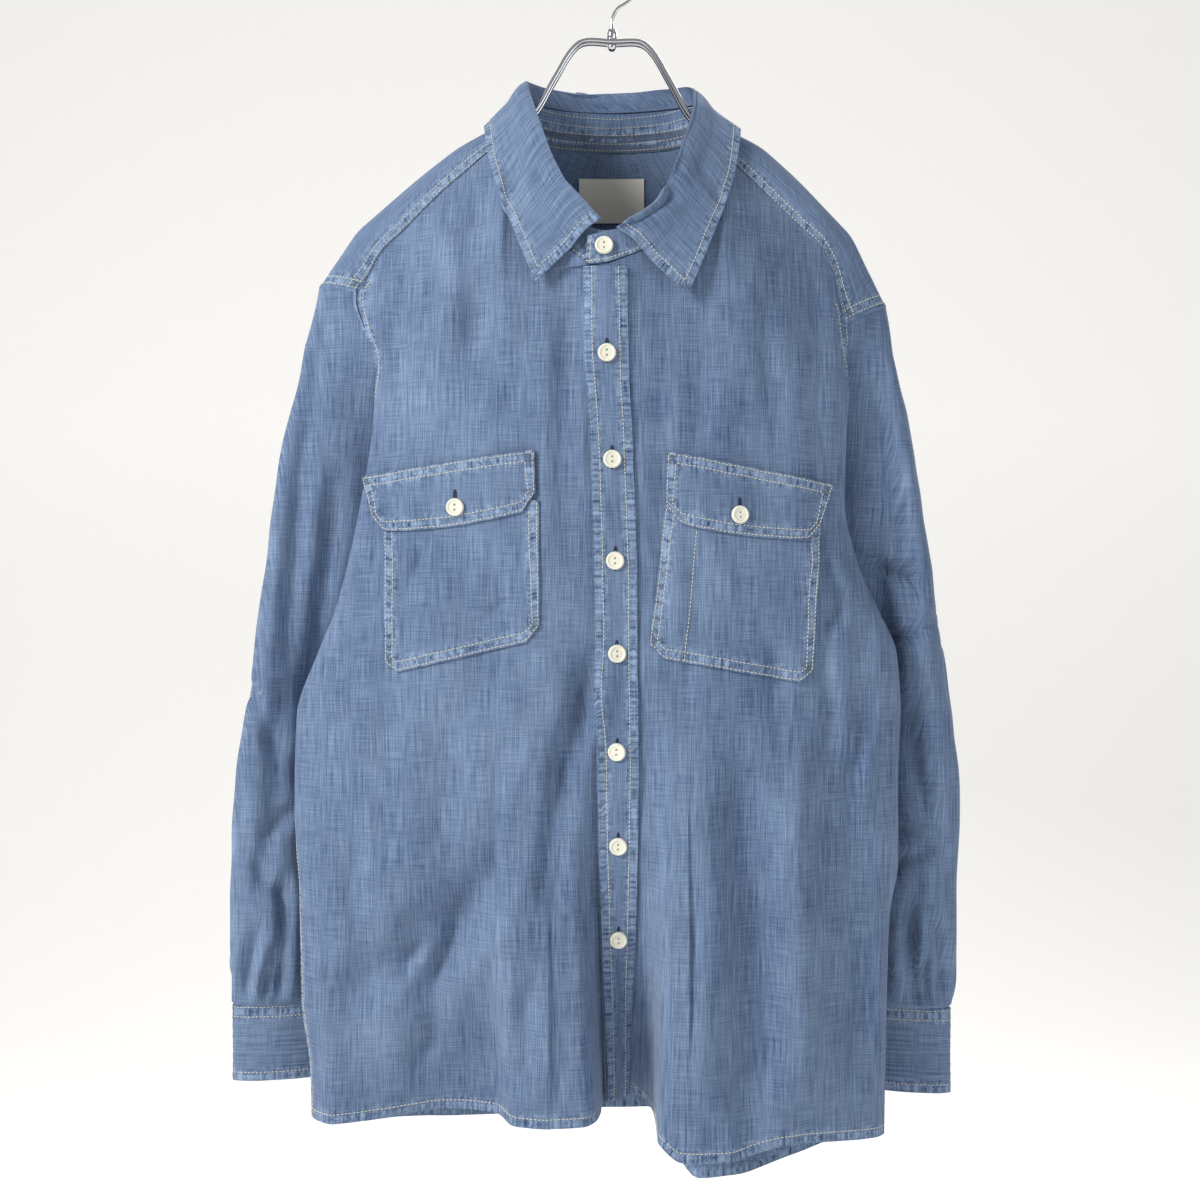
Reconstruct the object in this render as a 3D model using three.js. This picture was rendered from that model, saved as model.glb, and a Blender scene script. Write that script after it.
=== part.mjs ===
// A denim shirt hanging on a two-rod hanger, in millimetres.
// +X is to the right of someone who faces the shirt, the shirt's front looks along -Y, +Z is up.
// The origin is the underside of the hook's crown, where it bears on a rail.
// A height is written as a drop, the distance below the origin, so z = -drop.
import * as THREE from 'three';

// Driving sizes
const CLOTH = 1.2;
const COLLAR_CLOTH = 1.6;
const CUFF_CLOTH = 1.8;
const SEAM = 0.4;
const SEAM_ROOM = 0.6;
const SEAM_REACH = 0.975;
const SEAM_PULL = 25;
const LAID = 0.6;
const HEM_DROP = 930;
const BUTTON_RADIUS = 7;
const PLACKET_HALF = 16.2;
const PLACKET_LIFT = 2.3;
const UNDERLAP_HALF = 12;
const UNDERLAP_SINK = 2.9;
const FALL = 130;
const ROD_RADIUS = 2;
const WIRE_RADIUS = 1.5;
const HOOK_RADIUS = 23.5;
const HANGER_TILT = 0.018;
const SLEEVE_COLUMNS = 18;

// Colours
const CLOTH_BLUE = 0x5c78a5;
const BUTTON_CREAM = 0xe2e2d0;
const LABEL_CREAM = 0xe8e4da;
const CHROME = 0xb9bcc0;

// The sides by drop: the seam that ends the front, the fold edge of the outline, and where the back starts
const LEFT_SIDE = [
  { drop: 268, seamX: -203, seamY: -20, edgeX: -203, backX: -204, backY: 24 },
  { drop: 284, seamX: -203, seamY: -21, edgeX: -204, backX: -205, backY: 23 },
  { drop: 307, seamX: -196, seamY: -23, edgeX: -197, backX: -199, backY: 24 },
  { drop: 336, seamX: -184, seamY: -23, edgeX: -187, backX: -190, backY: 27 },
  { drop: 380, seamX: -181, seamY: -12, edgeX: -189, backX: -184, backY: 30 },
  { drop: 430, seamX: -186, seamY: -3, edgeX: -196, backX: -188, backY: 32 },
  { drop: 480, seamX: -196, seamY: 0, edgeX: -206, backX: -198, backY: 30 },
  { drop: 530, seamX: -212, seamY: 2, edgeX: -219, backX: -213, backY: 20 },
  { drop: 565, seamX: -226, seamY: 2, edgeX: -233, backX: -226, backY: 7 },
  { drop: 614, seamX: -243, seamY: -3, edgeX: -250, backX: -242, backY: 0 },
  { drop: 682, seamX: -249, seamY: -8, edgeX: -252, backX: -248, backY: -6 },
  { drop: 757, seamX: -246, seamY: -14, edgeX: -248, backX: -246, backY: -13 },
  { drop: 836, seamX: -246, seamY: -14, edgeX: -247, backX: -246, backY: -13 },
  { drop: 895, seamX: -239, seamY: -12, edgeX: -240, backX: -239, backY: -11 },
  { drop: 950, seamX: -238, seamY: -9, edgeX: -239, backX: -238, backY: -8 },
];
const RIGHT_SIDE = [
  { drop: 275, seamX: 185, seamY: -24, edgeX: 185, backX: 200, backY: 24 },
  { drop: 302, seamX: 185, seamY: -24, edgeX: 186, backX: 196, backY: 24 },
  { drop: 330, seamX: 183, seamY: -22, edgeX: 186, backX: 187, backY: 26 },
  { drop: 358, seamX: 176, seamY: -14, edgeX: 187, backX: 179, backY: 29 },
  { drop: 402, seamX: 175, seamY: -5, edgeX: 185, backX: 178, backY: 31 },
  { drop: 447, seamX: 179, seamY: -1, edgeX: 184, backX: 182, backY: 31 },
  { drop: 490, seamX: 188, seamY: 1, edgeX: 193, backX: 190, backY: 28 },
  { drop: 530, seamX: 203, seamY: 2, edgeX: 210, backX: 204, backY: 19 },
  { drop: 566, seamX: 212, seamY: 2, edgeX: 225, backX: 213, backY: 7 },
  { drop: 611, seamX: 220, seamY: -3, edgeX: 228, backX: 219, backY: 0 },
  { drop: 663, seamX: 221, seamY: -8, edgeX: 226, backX: 220, backY: -6 },
  { drop: 728, seamX: 221, seamY: -12, edgeX: 226, backX: 220, backY: -11 },
  { drop: 773, seamX: 215, seamY: -15, edgeX: 219, backX: 215, backY: -14 },
  { drop: 828, seamX: 212, seamY: -18, edgeX: 216, backX: 212, backY: -17 },
  { drop: 912, seamX: 211, seamY: -20, edgeX: 214, backX: 211, backY: -19 },
  { drop: 950, seamX: 210, seamY: -24, edgeX: 213, backX: 210, backY: -23 },
];

// The top edge of the fronts from shoulder to shoulder: yoke seam, neckline, neckline, yoke seam
const LEFT_YOKE_SEAM = [
  { x: -203, drop: 277, y: -20 },
  { x: -195, drop: 267, y: -20 },
  { x: -183, drop: 247, y: -20 },
  { x: -165, drop: 229, y: -20 },
  { x: -137, drop: 201, y: -20 },
  { x: -110, drop: 177, y: -18 },
  { x: -86, drop: 157, y: -14 },
];
const LEFT_NECK = [
  { x: -86, drop: 157, y: -14 },
  { x: -80, drop: 178, y: -30 },
  { x: -66, drop: 205, y: -50 },
  { x: -44, drop: 243, y: -68 },
  { x: -22, drop: 264, y: -77 },
  { x: -4, drop: 268, y: -80 },
];
const RIGHT_NECK = [
  { x: 8, drop: 263, y: -79 },
  { x: 24, drop: 256, y: -75 },
  { x: 46, drop: 238, y: -66 },
  { x: 66, drop: 210, y: -52 },
  { x: 80, drop: 185, y: -32 },
  { x: 86, drop: 166, y: -14 },
];
const OVERLAP_NECK = [
  { x: -22, drop: 269, y: -80 },
  { x: -6, drop: 268, y: -80 },
];
const RIGHT_YOKE_SEAM = [
  { x: 86, drop: 166, y: -14 },
  { x: 101, drop: 180, y: -18 },
  { x: 127, drop: 206, y: -20 },
  { x: 154, drop: 232, y: -20 },
  { x: 164, drop: 241, y: -20 },
  { x: 176, drop: 265, y: -20 },
  { x: 181, drop: 288, y: -22 },
  { x: 185, drop: 302, y: -24 },
];
const TOP_EDGE = [...LEFT_YOKE_SEAM, ...LEFT_NECK.slice(1), ...RIGHT_NECK, ...RIGHT_YOKE_SEAM.slice(1)];

// How far forward the fronts stand at the chest, waist and hem; across runs from -1 to 1, edge to edge
const CHEST_DROP = 430;
const WAIST_DROP = 700;
const FRONT_DEPTH = [
  { across: -1, chest: -24, waist: -20, hem: -14 },
  { across: -0.97, chest: -34, waist: -31, hem: -28 },
  { across: -0.9, chest: -44, waist: -42, hem: -44 },
  { across: -0.68, chest: -60, waist: -56, hem: -30 },
  { across: -0.5, chest: -67, waist: -60, hem: -16 },
  { across: -0.35, chest: -71, waist: -66, hem: -24 },
  { across: -0.28, chest: -73, waist: -70, hem: -58 },
  { across: -0.16, chest: -75, waist: -72, hem: -62 },
  { across: 0.02, chest: -77, waist: -70, hem: -76 },
  { across: 0.16, chest: -76, waist: -74, hem: -94 },
  { across: 0.29, chest: -74, waist: -77, hem: -98 },
  { across: 0.42, chest: -72, waist: -76, hem: -98 },
  { across: 0.55, chest: -68, waist: -72, hem: -90 },
  { across: 0.69, chest: -61, waist: -64, hem: -75 },
  { across: 0.79, chest: -54, waist: -57, hem: -65 },
  { across: 0.92, chest: -42, waist: -44, hem: -52 },
  { across: 0.97, chest: -34, waist: -36, hem: -44 },
  { across: 1, chest: -24, waist: -24, hem: -34 },
];
const SHOULDER_BLADE_DROP = 480;
const LOIN_DROP = 640;
const BACK_DEPTH = [
  { across: -1, blade: 28, loin: -18, hem: -12 },
  { across: -0.97, blade: 29, loin: -8, hem: -2 },
  { across: -0.9, blade: 31, loin: 3, hem: 7 },
  { across: -0.82, blade: 33, loin: 9, hem: 14 },
  { across: -0.7, blade: 35, loin: 20, hem: 30 },
  { across: -0.5, blade: 38, loin: 32, hem: 38 },
  { across: -0.25, blade: 42, loin: 40, hem: 42 },
  { across: 0, blade: 44, loin: 42, hem: 45 },
  { across: 0.2, blade: 43, loin: 42, hem: 45 },
  { across: 0.28, blade: 42, loin: 40, hem: 12 },
  { across: 0.36, blade: 40, loin: 37, hem: -22 },
  { across: 0.49, blade: 38, loin: 31, hem: -20 },
  { across: 0.63, blade: 36, loin: 22, hem: -10 },
  { across: 0.78, blade: 33, loin: 12, hem: 0 },
  { across: 0.84, blade: 32, loin: 9, hem: 3 },
  { across: 0.92, blade: 31, loin: 0, hem: -8 },
  { across: 0.97, blade: 29, loin: -9, hem: -20 },
  { across: 1, blade: 28, loin: -20, hem: -30 },
];

// Hems by the place across
const FRONT_HEM = [
  { x: -238, drop: 934 },
  { x: -220, drop: 932 },
  { x: -125, drop: 927 },
  { x: -50, drop: 930 },
  { x: 20, drop: 928 },
  { x: 34, drop: 934 },
  { x: 52, drop: 945 },
  { x: 85, drop: 945 },
  { x: 130, drop: 937 },
  { x: 211, drop: 942 },
];
const BACK_HEM = [
  { x: -238, drop: 935 },
  { x: -200, drop: 946 },
  { x: -94, drop: 948 },
  { x: 30, drop: 943 },
  { x: 69, drop: 981 },
  { x: 97, drop: 979 },
  { x: 130, drop: 971 },
  { x: 177, drop: 957 },
  { x: 210, drop: 943 },
];

// The centre line of the placket, and the deep fold that it sinks into towards the hem
const CENTRE_LINE = [
  { drop: 254, x: -6 },
  { drop: 335, x: -4.5 },
  { drop: 416, x: -0.5 },
  { drop: 493, x: 2 },
  { drop: 564, x: 3 },
  { drop: 712, x: 4.5 },
  { drop: 950, x: 5 },
];
const FOLD_SHARE = [
  { drop: 600, share: 0 },
  { drop: 700, share: 0.1 },
  { drop: 780, share: 0.33 },
  { drop: 850, share: 0.65 },
  { drop: 930, share: 1 },
  { drop: 950, share: 1.03 },
];
const CENTRE_FOLD = [
  { from: -54, hemX: -49, hemY: -62 },
  { from: -38, hemX: -22, hemY: -61 },
  { from: -29, hemX: -10, hemY: -46 },
  { from: -22, hemX: -6, hemY: -22 },
  { from: -17, hemX: -5, hemY: 2 },
  { from: -11, hemX: -1.6, hemY: 6.4 },
  { from: 11, hemX: 10.6, hemY: 22.6 },
  { from: 17, hemX: 14, hemY: 27 },
  { from: 21, hemX: 25, hemY: 20 },
  { from: 26, hemX: 33, hemY: -6 },
  { from: 31, hemX: 34, hemY: -45 },
  { from: 36, hemX: 34, hemY: -80 },
  { from: 42, hemX: 41, hemY: -94 },
  { from: 54, hemX: 59, hemY: -98 },
];

// Large soft folds of the fronts: a line from top to bottom, its half width, and how far back it sinks
const FRONT_FOLDS = [
  { topX: -100, topDrop: 200, bottomX: -112, bottomDrop: 335, half: 13, sink: 5 },
  { topX: -165, topDrop: 255, bottomX: -166, bottomDrop: 390, half: 13, sink: 5 },
  { topX: -20, topDrop: 570, bottomX: -50, bottomDrop: 760, half: 9, sink: 6 },
  { topX: -80, topDrop: 720, bottomX: -165, bottomDrop: 845, half: 14, sink: 7 },
  { topX: -110, topDrop: 735, bottomX: -215, bottomDrop: 850, half: 16, sink: 6 },
  { topX: 108, topDrop: 660, bottomX: 104, bottomDrop: 930, half: 16, sink: 8 },
  { topX: 66, topDrop: 640, bottomX: 72, bottomDrop: 900, half: 13, sink: -4 },
  { topX: 145, topDrop: 640, bottomX: 145, bottomDrop: 900, half: 13, sink: -5 },
];

// The yoke, from the left front seam over the shoulder and round the back to the right front seam
const YOKE = [
  { turn: 0, neckX: -86, neckDrop: 157, neckY: -14, endX: -203, endDrop: 277, endY: -20, swell: 9 },
  { turn: 0.06, neckX: -87, neckDrop: 142.5, neckY: -6, endX: -224, endDrop: 272, endY: -13, swell: 15 },
  { turn: 0.12, neckX: -85, neckDrop: 139.5, neckY: 5, endX: -234, endDrop: 270, endY: 0, swell: 18 },
  { turn: 0.18, neckX: -78, neckDrop: 144, neckY: 18, endX: -224, endDrop: 269, endY: 15, swell: 14 },
  { turn: 0.25, neckX: -66, neckDrop: 149, neckY: 30, endX: -204, endDrop: 268, endY: 24, swell: 4 },
  { turn: 0.35, neckX: -40, neckDrop: 152, neckY: 43, endX: -120, endDrop: 261, endY: 38, swell: 0 },
  { turn: 0.5, neckX: 0, neckDrop: 153, neckY: 48, endX: 0, endDrop: 256, endY: 44, swell: 0 },
  { turn: 0.65, neckX: 40, neckDrop: 152, neckY: 43, endX: 118, endDrop: 263, endY: 38, swell: 0 },
  { turn: 0.75, neckX: 66, neckDrop: 149, neckY: 30, endX: 200, endDrop: 275, endY: 24, swell: 6 },
  { turn: 0.82, neckX: 79, neckDrop: 146, neckY: 18, endX: 210, endDrop: 281, endY: 15, swell: 19 },
  { turn: 0.88, neckX: 85, neckDrop: 143, neckY: 5, endX: 219, endDrop: 285, endY: 0, swell: 27 },
  { turn: 0.94, neckX: 87, neckDrop: 147, neckY: -6, endX: 207, endDrop: 291, endY: -13, swell: 22 },
  { turn: 1, neckX: 86, neckDrop: 166, neckY: -14, endX: 185, endDrop: 302, endY: -24, swell: 12 },
];
const SWELL_ALONG = [
  { along: 0, rise: 0 },
  { along: 0.14, rise: 0.5 },
  { along: 0.3, rise: 0.86 },
  { along: 0.55, rise: 1 },
  { along: 0.78, rise: 1 },
  { along: 0.9, rise: 0.5 },
  { along: 1, rise: 0 },
];

// The sleeves below the armhole: each section's outer and inner end, and half its depth
const LEFT_SLEEVE = [
  { step: 1, outX: -246, outDrop: 318, outY: 0, inX: -229, inDrop: 577, inY: 18, half: 23 },
  { step: 2, outX: -262, outDrop: 405, outY: 0, inX: -230, inDrop: 605, inY: 29, half: 26 },
  { step: 3, outX: -277, outDrop: 485, outY: 2, inX: -231, inDrop: 645, inY: 34, half: 27 },
  { step: 4, outX: -290, outDrop: 580, outY: 4, inX: -234, inDrop: 702, inY: 36, half: 29 },
  { step: 5, outX: -303, outDrop: 668, outY: 6, inX: -236, inDrop: 762, inY: 36, half: 31 },
  { step: 6, outX: -309, outDrop: 768, outY: 8, inX: -228, inDrop: 820, inY: 36, half: 28 },
  { step: 7, outX: -308, outDrop: 847.5, outY: 10, inX: -217, inDrop: 849, inY: 38, half: 18 },
];
const RIGHT_SLEEVE = [
  { step: 1, outX: 226, outDrop: 330, outY: 0, inX: 214, inDrop: 575, inY: 18, half: 23 },
  { step: 2, outX: 242, outDrop: 405, outY: 0, inX: 212, inDrop: 605, inY: 29, half: 26 },
  { step: 3, outX: 254, outDrop: 482, outY: 2, inX: 210, inDrop: 645, inY: 34, half: 27 },
  { step: 4, outX: 270, outDrop: 587, outY: 4, inX: 207, inDrop: 702, inY: 36, half: 29 },
  { step: 5, outX: 279, outDrop: 680, outY: 6, inX: 203, inDrop: 762, inY: 36, half: 31 },
  { step: 6, outX: 279, outDrop: 768, outY: 8, inX: 197, inDrop: 822, inY: 36, half: 28 },
  { step: 7, outX: 275, outDrop: 849.5, outY: 10, inX: 190, inDrop: 852, inY: 38, half: 18 },
];
const LEFT_CUFF = { outX: -308, outY: 10, inX: -217, inY: 38, topDrop: 850, bottomDrop: 911, half: 15 };
const RIGHT_CUFF = { outX: 275, outY: 10, inX: 190, inY: 38, topDrop: 853, bottomDrop: 921, half: 15 };

// The collar from its end at the left front, round the back, to its end at the right front
const STAND = [
  { baseX: 12, baseY: -75.5, baseDrop: 262, topX: 10, topY: -72, topDrop: 238 },
  { baseX: -6, baseY: -77, baseDrop: 267, topX: -6, topY: -73.5, topDrop: 241 },
  { baseX: -23, baseY: -75.5, baseDrop: 263, topX: -21, topY: -70, topDrop: 236 },
  { baseX: -44, baseY: -67, baseDrop: 242, topX: -38, topY: -60, topDrop: 214 },
  { baseX: -66, baseY: -49, baseDrop: 204, topX: -55, topY: -41, topDrop: 174 },
  { baseX: -83, baseY: -22, baseDrop: 165, topX: -64, topY: -22, topDrop: 146 },
  { baseX: -87, baseY: -6, baseDrop: 141.5, topX: -70, topY: -7, topDrop: 128 },
  { baseX: -84.5, baseY: 6, baseDrop: 138.5, topX: -71, topY: 9, topDrop: 119 },
  { baseX: -66, baseY: 30, baseDrop: 148, topX: -61, topY: 33, topDrop: 117 },
  { baseX: -40, baseY: 43, baseDrop: 151, topX: -37, topY: 46, topDrop: 118 },
  { baseX: 0, baseY: 48, baseDrop: 152, topX: 0, topY: 54, topDrop: 118 },
  { baseX: 40, baseY: 43, baseDrop: 151, topX: 37, topY: 46, topDrop: 118 },
  { baseX: 66, baseY: 30, baseDrop: 148, topX: 60, topY: 32, topDrop: 119 },
  { baseX: 84.5, baseY: 6, baseDrop: 142, topX: 70, topY: 8, topDrop: 123 },
  { baseX: 87, baseY: -6, baseDrop: 146, topX: 71, topY: -8, topDrop: 136 },
  { baseX: 83, baseY: -24, baseDrop: 173, topX: 66, topY: -24, topDrop: 152 },
  { baseX: 66, baseY: -51, baseDrop: 209, topX: 56, topY: -42, topDrop: 178 },
  { baseX: 46, baseY: -66, baseDrop: 237, topX: 41, topY: -60, topDrop: 211 },
  { baseX: 24, baseY: -75.5, baseDrop: 255, topX: 23, topY: -71, topDrop: 231 },
  { baseX: 8, baseY: -80, baseDrop: 262, topX: 6, topY: -77, topDrop: 240 },
  { baseX: -6, baseY: -81.5, baseDrop: 266.5, topX: -6, topY: -78.5, topDrop: 243 },
  { baseX: -21, baseY: -80.5, baseDrop: 268, topX: -19, topY: -77, topDrop: 246 },
];
const LEAF = [
  { foldX: -9, foldY: -78, foldDrop: 233, rimX: -59, rimY: -80, rimDrop: 281 },
  { foldX: -23, foldY: -73, foldDrop: 216, rimX: -67, rimY: -76, rimDrop: 262 },
  { foldX: -39, foldY: -62, foldDrop: 196, rimX: -76, rimY: -68, rimDrop: 239 },
  { foldX: -54, foldY: -42, foldDrop: 157, rimX: -88, rimY: -50, rimDrop: 208 },
  { foldX: -62, foldY: -24, foldDrop: 131, rimX: -98, rimY: -27, rimDrop: 172 },
  { foldX: -68, foldY: -4, foldDrop: 110, rimX: -103, rimY: -6, rimDrop: 143 },
  { foldX: -69, foldY: 13, foldDrop: 102, rimX: -104, rimY: 12, rimDrop: 141 },
  { foldX: -60, foldY: 34, foldDrop: 100, rimX: -88, rimY: 43, rimDrop: 146 },
  { foldX: -36, foldY: 49, foldDrop: 100, rimX: -50, rimY: 63, rimDrop: 150 },
  { foldX: 0, foldY: 58, foldDrop: 99, rimX: 0, rimY: 70, rimDrop: 151 },
  { foldX: 36, foldY: 48, foldDrop: 99, rimX: 50, rimY: 63, rimDrop: 151 },
  { foldX: 58, foldY: 32, foldDrop: 101, rimX: 88, rimY: 42, rimDrop: 148 },
  { foldX: 65, foldY: 12, foldDrop: 108, rimX: 103, rimY: 11, rimDrop: 143 },
  { foldX: 65, foldY: -6, foldDrop: 121, rimX: 103, rimY: -9, rimDrop: 146 },
  { foldX: 62, foldY: -25, foldDrop: 139, rimX: 98, rimY: -29, rimDrop: 180 },
  { foldX: 55, foldY: -43, foldDrop: 164, rimX: 88, rimY: -50, rimDrop: 214 },
  { foldX: 40, foldY: -63, foldDrop: 206, rimX: 77, rimY: -67, rimDrop: 243 },
  { foldX: 27, foldY: -74, foldDrop: 222, rimX: 68, rimY: -76, rimDrop: 266 },
  { foldX: 3, foldY: -82, foldDrop: 240, rimX: 57, rimY: -82, rimDrop: 291 },
];

// Pockets and flaps: corners as seen from the front, clockwise from the upper left
const POCKETS = {
  right_pocket: { x: [-177, -56, -56, -176], drop: [443, 447, 553, 581], corner: 10 },
  left_pocket: { x: [43, 163, 153, 28], drop: [429, 450, 588, 566], corner: 10 },
};
const FLAPS = {
  right_flap: { x: [-194, -59, -58, -186], drop: [427, 408, 453, 470], corner: 12, belly: 5 },
  left_flap: { x: [42, 171, 160, 41], drop: [410, 433, 476, 462], corner: 12, belly: 5 },
};

const materials = {
  cloth: { color: CLOTH_BLUE, roughness: 0.9, metalness: 0 },
  button: { color: BUTTON_CREAM, roughness: 0.35, metalness: 0 },
  label: { color: LABEL_CREAM, roughness: 0.8, metalness: 0 },
  chrome: { color: CHROME, roughness: 0.2, metalness: 1 },
};

const shirt = new THREE.Group();

function add(name, geometry, finish) {
  const mesh = new THREE.Mesh(geometry, new THREE.MeshStandardMaterial(materials[finish]));
  mesh.name = name;
  shirt.add(mesh);
  return mesh;
}

const lerp = THREE.MathUtils.lerp;
const clamp = THREE.MathUtils.clamp;

// Runs from 0 to 1 between two places, level at both, in either direction
function smooth(from, to, at) {
  const t = clamp((at - from) / (to - from), 0, 1);
  return t * t * (3 - 2 * t);
}

// Reads a column of a table at a key: a cubic that never overshoots its rows
function read(table, key, column, at) {
  const last = table.length - 1;
  let row = 0;
  while (row < last - 1 && at > table[row + 1][key]) row += 1;
  const slope = (i) => (table[i + 1][column] - table[i][column]) / (table[i + 1][key] - table[i][key]);
  const tangent = (i) => {
    if (i === 0) return slope(0);
    if (i === last) return slope(last - 1);
    const product = slope(i - 1) * slope(i);
    return product <= 0 ? 0 : (2 * product) / (slope(i - 1) + slope(i));
  };
  const width = table[row + 1][key] - table[row][key];
  const t = clamp((at - table[row][key]) / width, 0, 1);
  const start = (1 + 2 * t) * (1 - t) ** 2 * table[row][column];
  const end = t * t * (3 - 2 * t) * table[row + 1][column];
  return start + end + width * t * (1 - t) * ((1 - t) * tangent(row) - t * tangent(row + 1));
}

// The same table with an evenly spaced key named step
function numbered(table) {
  return table.map((row, i) => ({ ...row, step: i / (table.length - 1) }));
}

// Makes a wall from a grid of outer points: rows of equal length, each a ring when closed is true
function wall(grid, thickness, closed = false) {
  const rows = grid.length;
  const columns = grid[0].length;
  const at = (j, i) => grid[j][closed ? (i + columns) % columns : clamp(i, 0, columns - 1)];
  const inner = grid.map((line, j) => line.map((point, i) => {
    const across = at(j, i + 1).clone().sub(at(j, i - 1));
    const up = at(Math.min(j + 1, rows - 1), i).clone().sub(at(Math.max(j - 1, 0), i));
    return across.cross(up).normalize().multiplyScalar(-thickness).add(point);
  }));
  const positions = [...grid.flat(), ...inner.flat()].flatMap((p) => [p.x, p.y, p.z]);
  const outerAt = (j, i) => j * columns + (i % columns);
  const innerAt = (j, i) => rows * columns + outerAt(j, i);
  const faces = [];
  const quad = (a, b, c, d) => faces.push(a, b, c, a, c, d);
  const spans = closed ? columns : columns - 1;
  for (let j = 0; j < rows - 1; j += 1) {
    for (let i = 0; i < spans; i += 1) {
      quad(outerAt(j, i), outerAt(j, i + 1), outerAt(j + 1, i + 1), outerAt(j + 1, i));
      quad(innerAt(j, i), innerAt(j + 1, i), innerAt(j + 1, i + 1), innerAt(j, i + 1));
    }
  }
  for (let i = 0; i < spans; i += 1) {
    quad(outerAt(0, i), innerAt(0, i), innerAt(0, i + 1), outerAt(0, i + 1));
    quad(outerAt(rows - 1, i), outerAt(rows - 1, i + 1), innerAt(rows - 1, i + 1), innerAt(rows - 1, i));
  }
  if (!closed) {
    const end = columns - 1;
    for (let j = 0; j < rows - 1; j += 1) {
      quad(outerAt(j, 0), outerAt(j + 1, 0), innerAt(j + 1, 0), innerAt(j, 0));
      quad(outerAt(j, end), innerAt(j, end), innerAt(j + 1, end), outerAt(j + 1, end));
    }
  }
  const geometry = new THREE.BufferGeometry();
  geometry.setAttribute('position', new THREE.Float32BufferAttribute(positions, 3));
  geometry.setIndex(faces);
  return geometry;
}

// Spaces the points of a line evenly along its length
function even(line, count) {
  const reach = [0];
  for (let i = 1; i < line.length; i += 1) reach.push(reach[i - 1] + line[i].distanceTo(line[i - 1]));
  const total = reach[reach.length - 1];
  const points = [];
  let i = 0;
  for (let n = 0; n < count; n += 1) {
    const goal = (total * n) / (count - 1);
    while (i < line.length - 2 && reach[i + 1] < goal) i += 1;
    const t = (goal - reach[i]) / (reach[i + 1] - reach[i] || 1);
    points.push(line[i].clone().lerp(line[i + 1], clamp(t, 0, 1)));
  }
  return points;
}

const shares = (count) => Array.from({ length: count }, (_, i) => i / (count - 1));
const SEAM_STEPS = shares(9);
const centreAt = (drop) => read(CENTRE_LINE, 'drop', 'x', drop);
const leftEdge = (drop) => read(LEFT_SIDE, 'drop', 'edgeX', drop);
const rightEdge = (drop) => read(RIGHT_SIDE, 'drop', 'edgeX', drop);

// Where a place lies between the two outline edges, from -1 to 1
function acrossAt(x, drop) {
  const middle = (leftEdge(drop) + rightEdge(drop)) / 2;
  const half = (rightEdge(drop) - leftEdge(drop)) / 2;
  return clamp((x - middle) / half, -1, 1);
}

// How far a fold moves the cloth: a bell across its line, fading at both ends
function foldSink(fold, x, drop) {
  const runX = fold.bottomX - fold.topX;
  const runDrop = fold.bottomDrop - fold.topDrop;
  const length = Math.hypot(runX, runDrop);
  const along = ((x - fold.topX) * runX + (drop - fold.topDrop) * runDrop) / length ** 2;
  const aside = ((x - fold.topX) * runDrop - (drop - fold.topDrop) * runX) / length;
  const fade = smooth(-0.15, 0.25, along) * smooth(1.15, 0.75, along);
  return fold.sink * Math.exp(-((aside / fold.half) ** 2)) * fade;
}

// The depth of the fronts: from the top edge it falls forward to the chest, then on to waist and hem
function frontDepth(x, drop) {
  const across = acrossAt(x, drop);
  const chest = read(FRONT_DEPTH, 'across', 'chest', across);
  const waist = read(FRONT_DEPTH, 'across', 'waist', across);
  const hem = read(FRONT_DEPTH, 'across', 'hem', across);
  const lower = lerp(waist, hem, smooth(WAIST_DROP, HEM_DROP + 20, drop));
  const full = lerp(chest, lower, smooth(CHEST_DROP, WAIST_DROP, drop));
  const fallen = clamp((drop - read(TOP_EDGE, 'x', 'drop', x)) / FALL, 0, 1);
  const folds = FRONT_FOLDS.reduce((sum, fold) => sum + foldSink(fold, x, drop), 0);
  return lerp(read(TOP_EDGE, 'x', 'y', x), full, 1 - (1 - fallen) ** 2) + folds * smooth(0, 0.4, fallen);
}

// A point of the fronts; the centre fold carries what lies near the placket back and to the side
function frontPoint(x, drop) {
  const point = new THREE.Vector3(x, frontDepth(x, drop), -drop);
  const from = x - centreAt(drop);
  const share = drop > FOLD_SHARE[0].drop ? read(FOLD_SHARE, 'drop', 'share', drop) : 0;
  if (Math.abs(from) > 54 || share === 0) return point;
  point.x = lerp(x, read(CENTRE_FOLD, 'from', 'hemX', from), share);
  point.y = lerp(point.y, read(CENTRE_FOLD, 'from', 'hemY', from), share);
  return point;
}

function frontNormal(x, drop) {
  const across = frontPoint(x + 1, drop).sub(frontPoint(x - 1, drop));
  const up = frontPoint(x, drop - 1).sub(frontPoint(x, drop + 1));
  return across.cross(up).normalize();
}

const onFront = (x, drop, lift) => frontPoint(x, drop).addScaledVector(frontNormal(x, drop), lift);

// The levels and the centre stations that both fronts and the placket share
const LEVELS = shares(21).map((v) => lerp(HEM_DROP, 312, v));
const STATIONS = [-PLACKET_HALF, -PLACKET_HALF / 3, PLACKET_HALF / 3, PLACKET_HALF];
const FRONT_END = PLACKET_HALF + 1;

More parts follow.
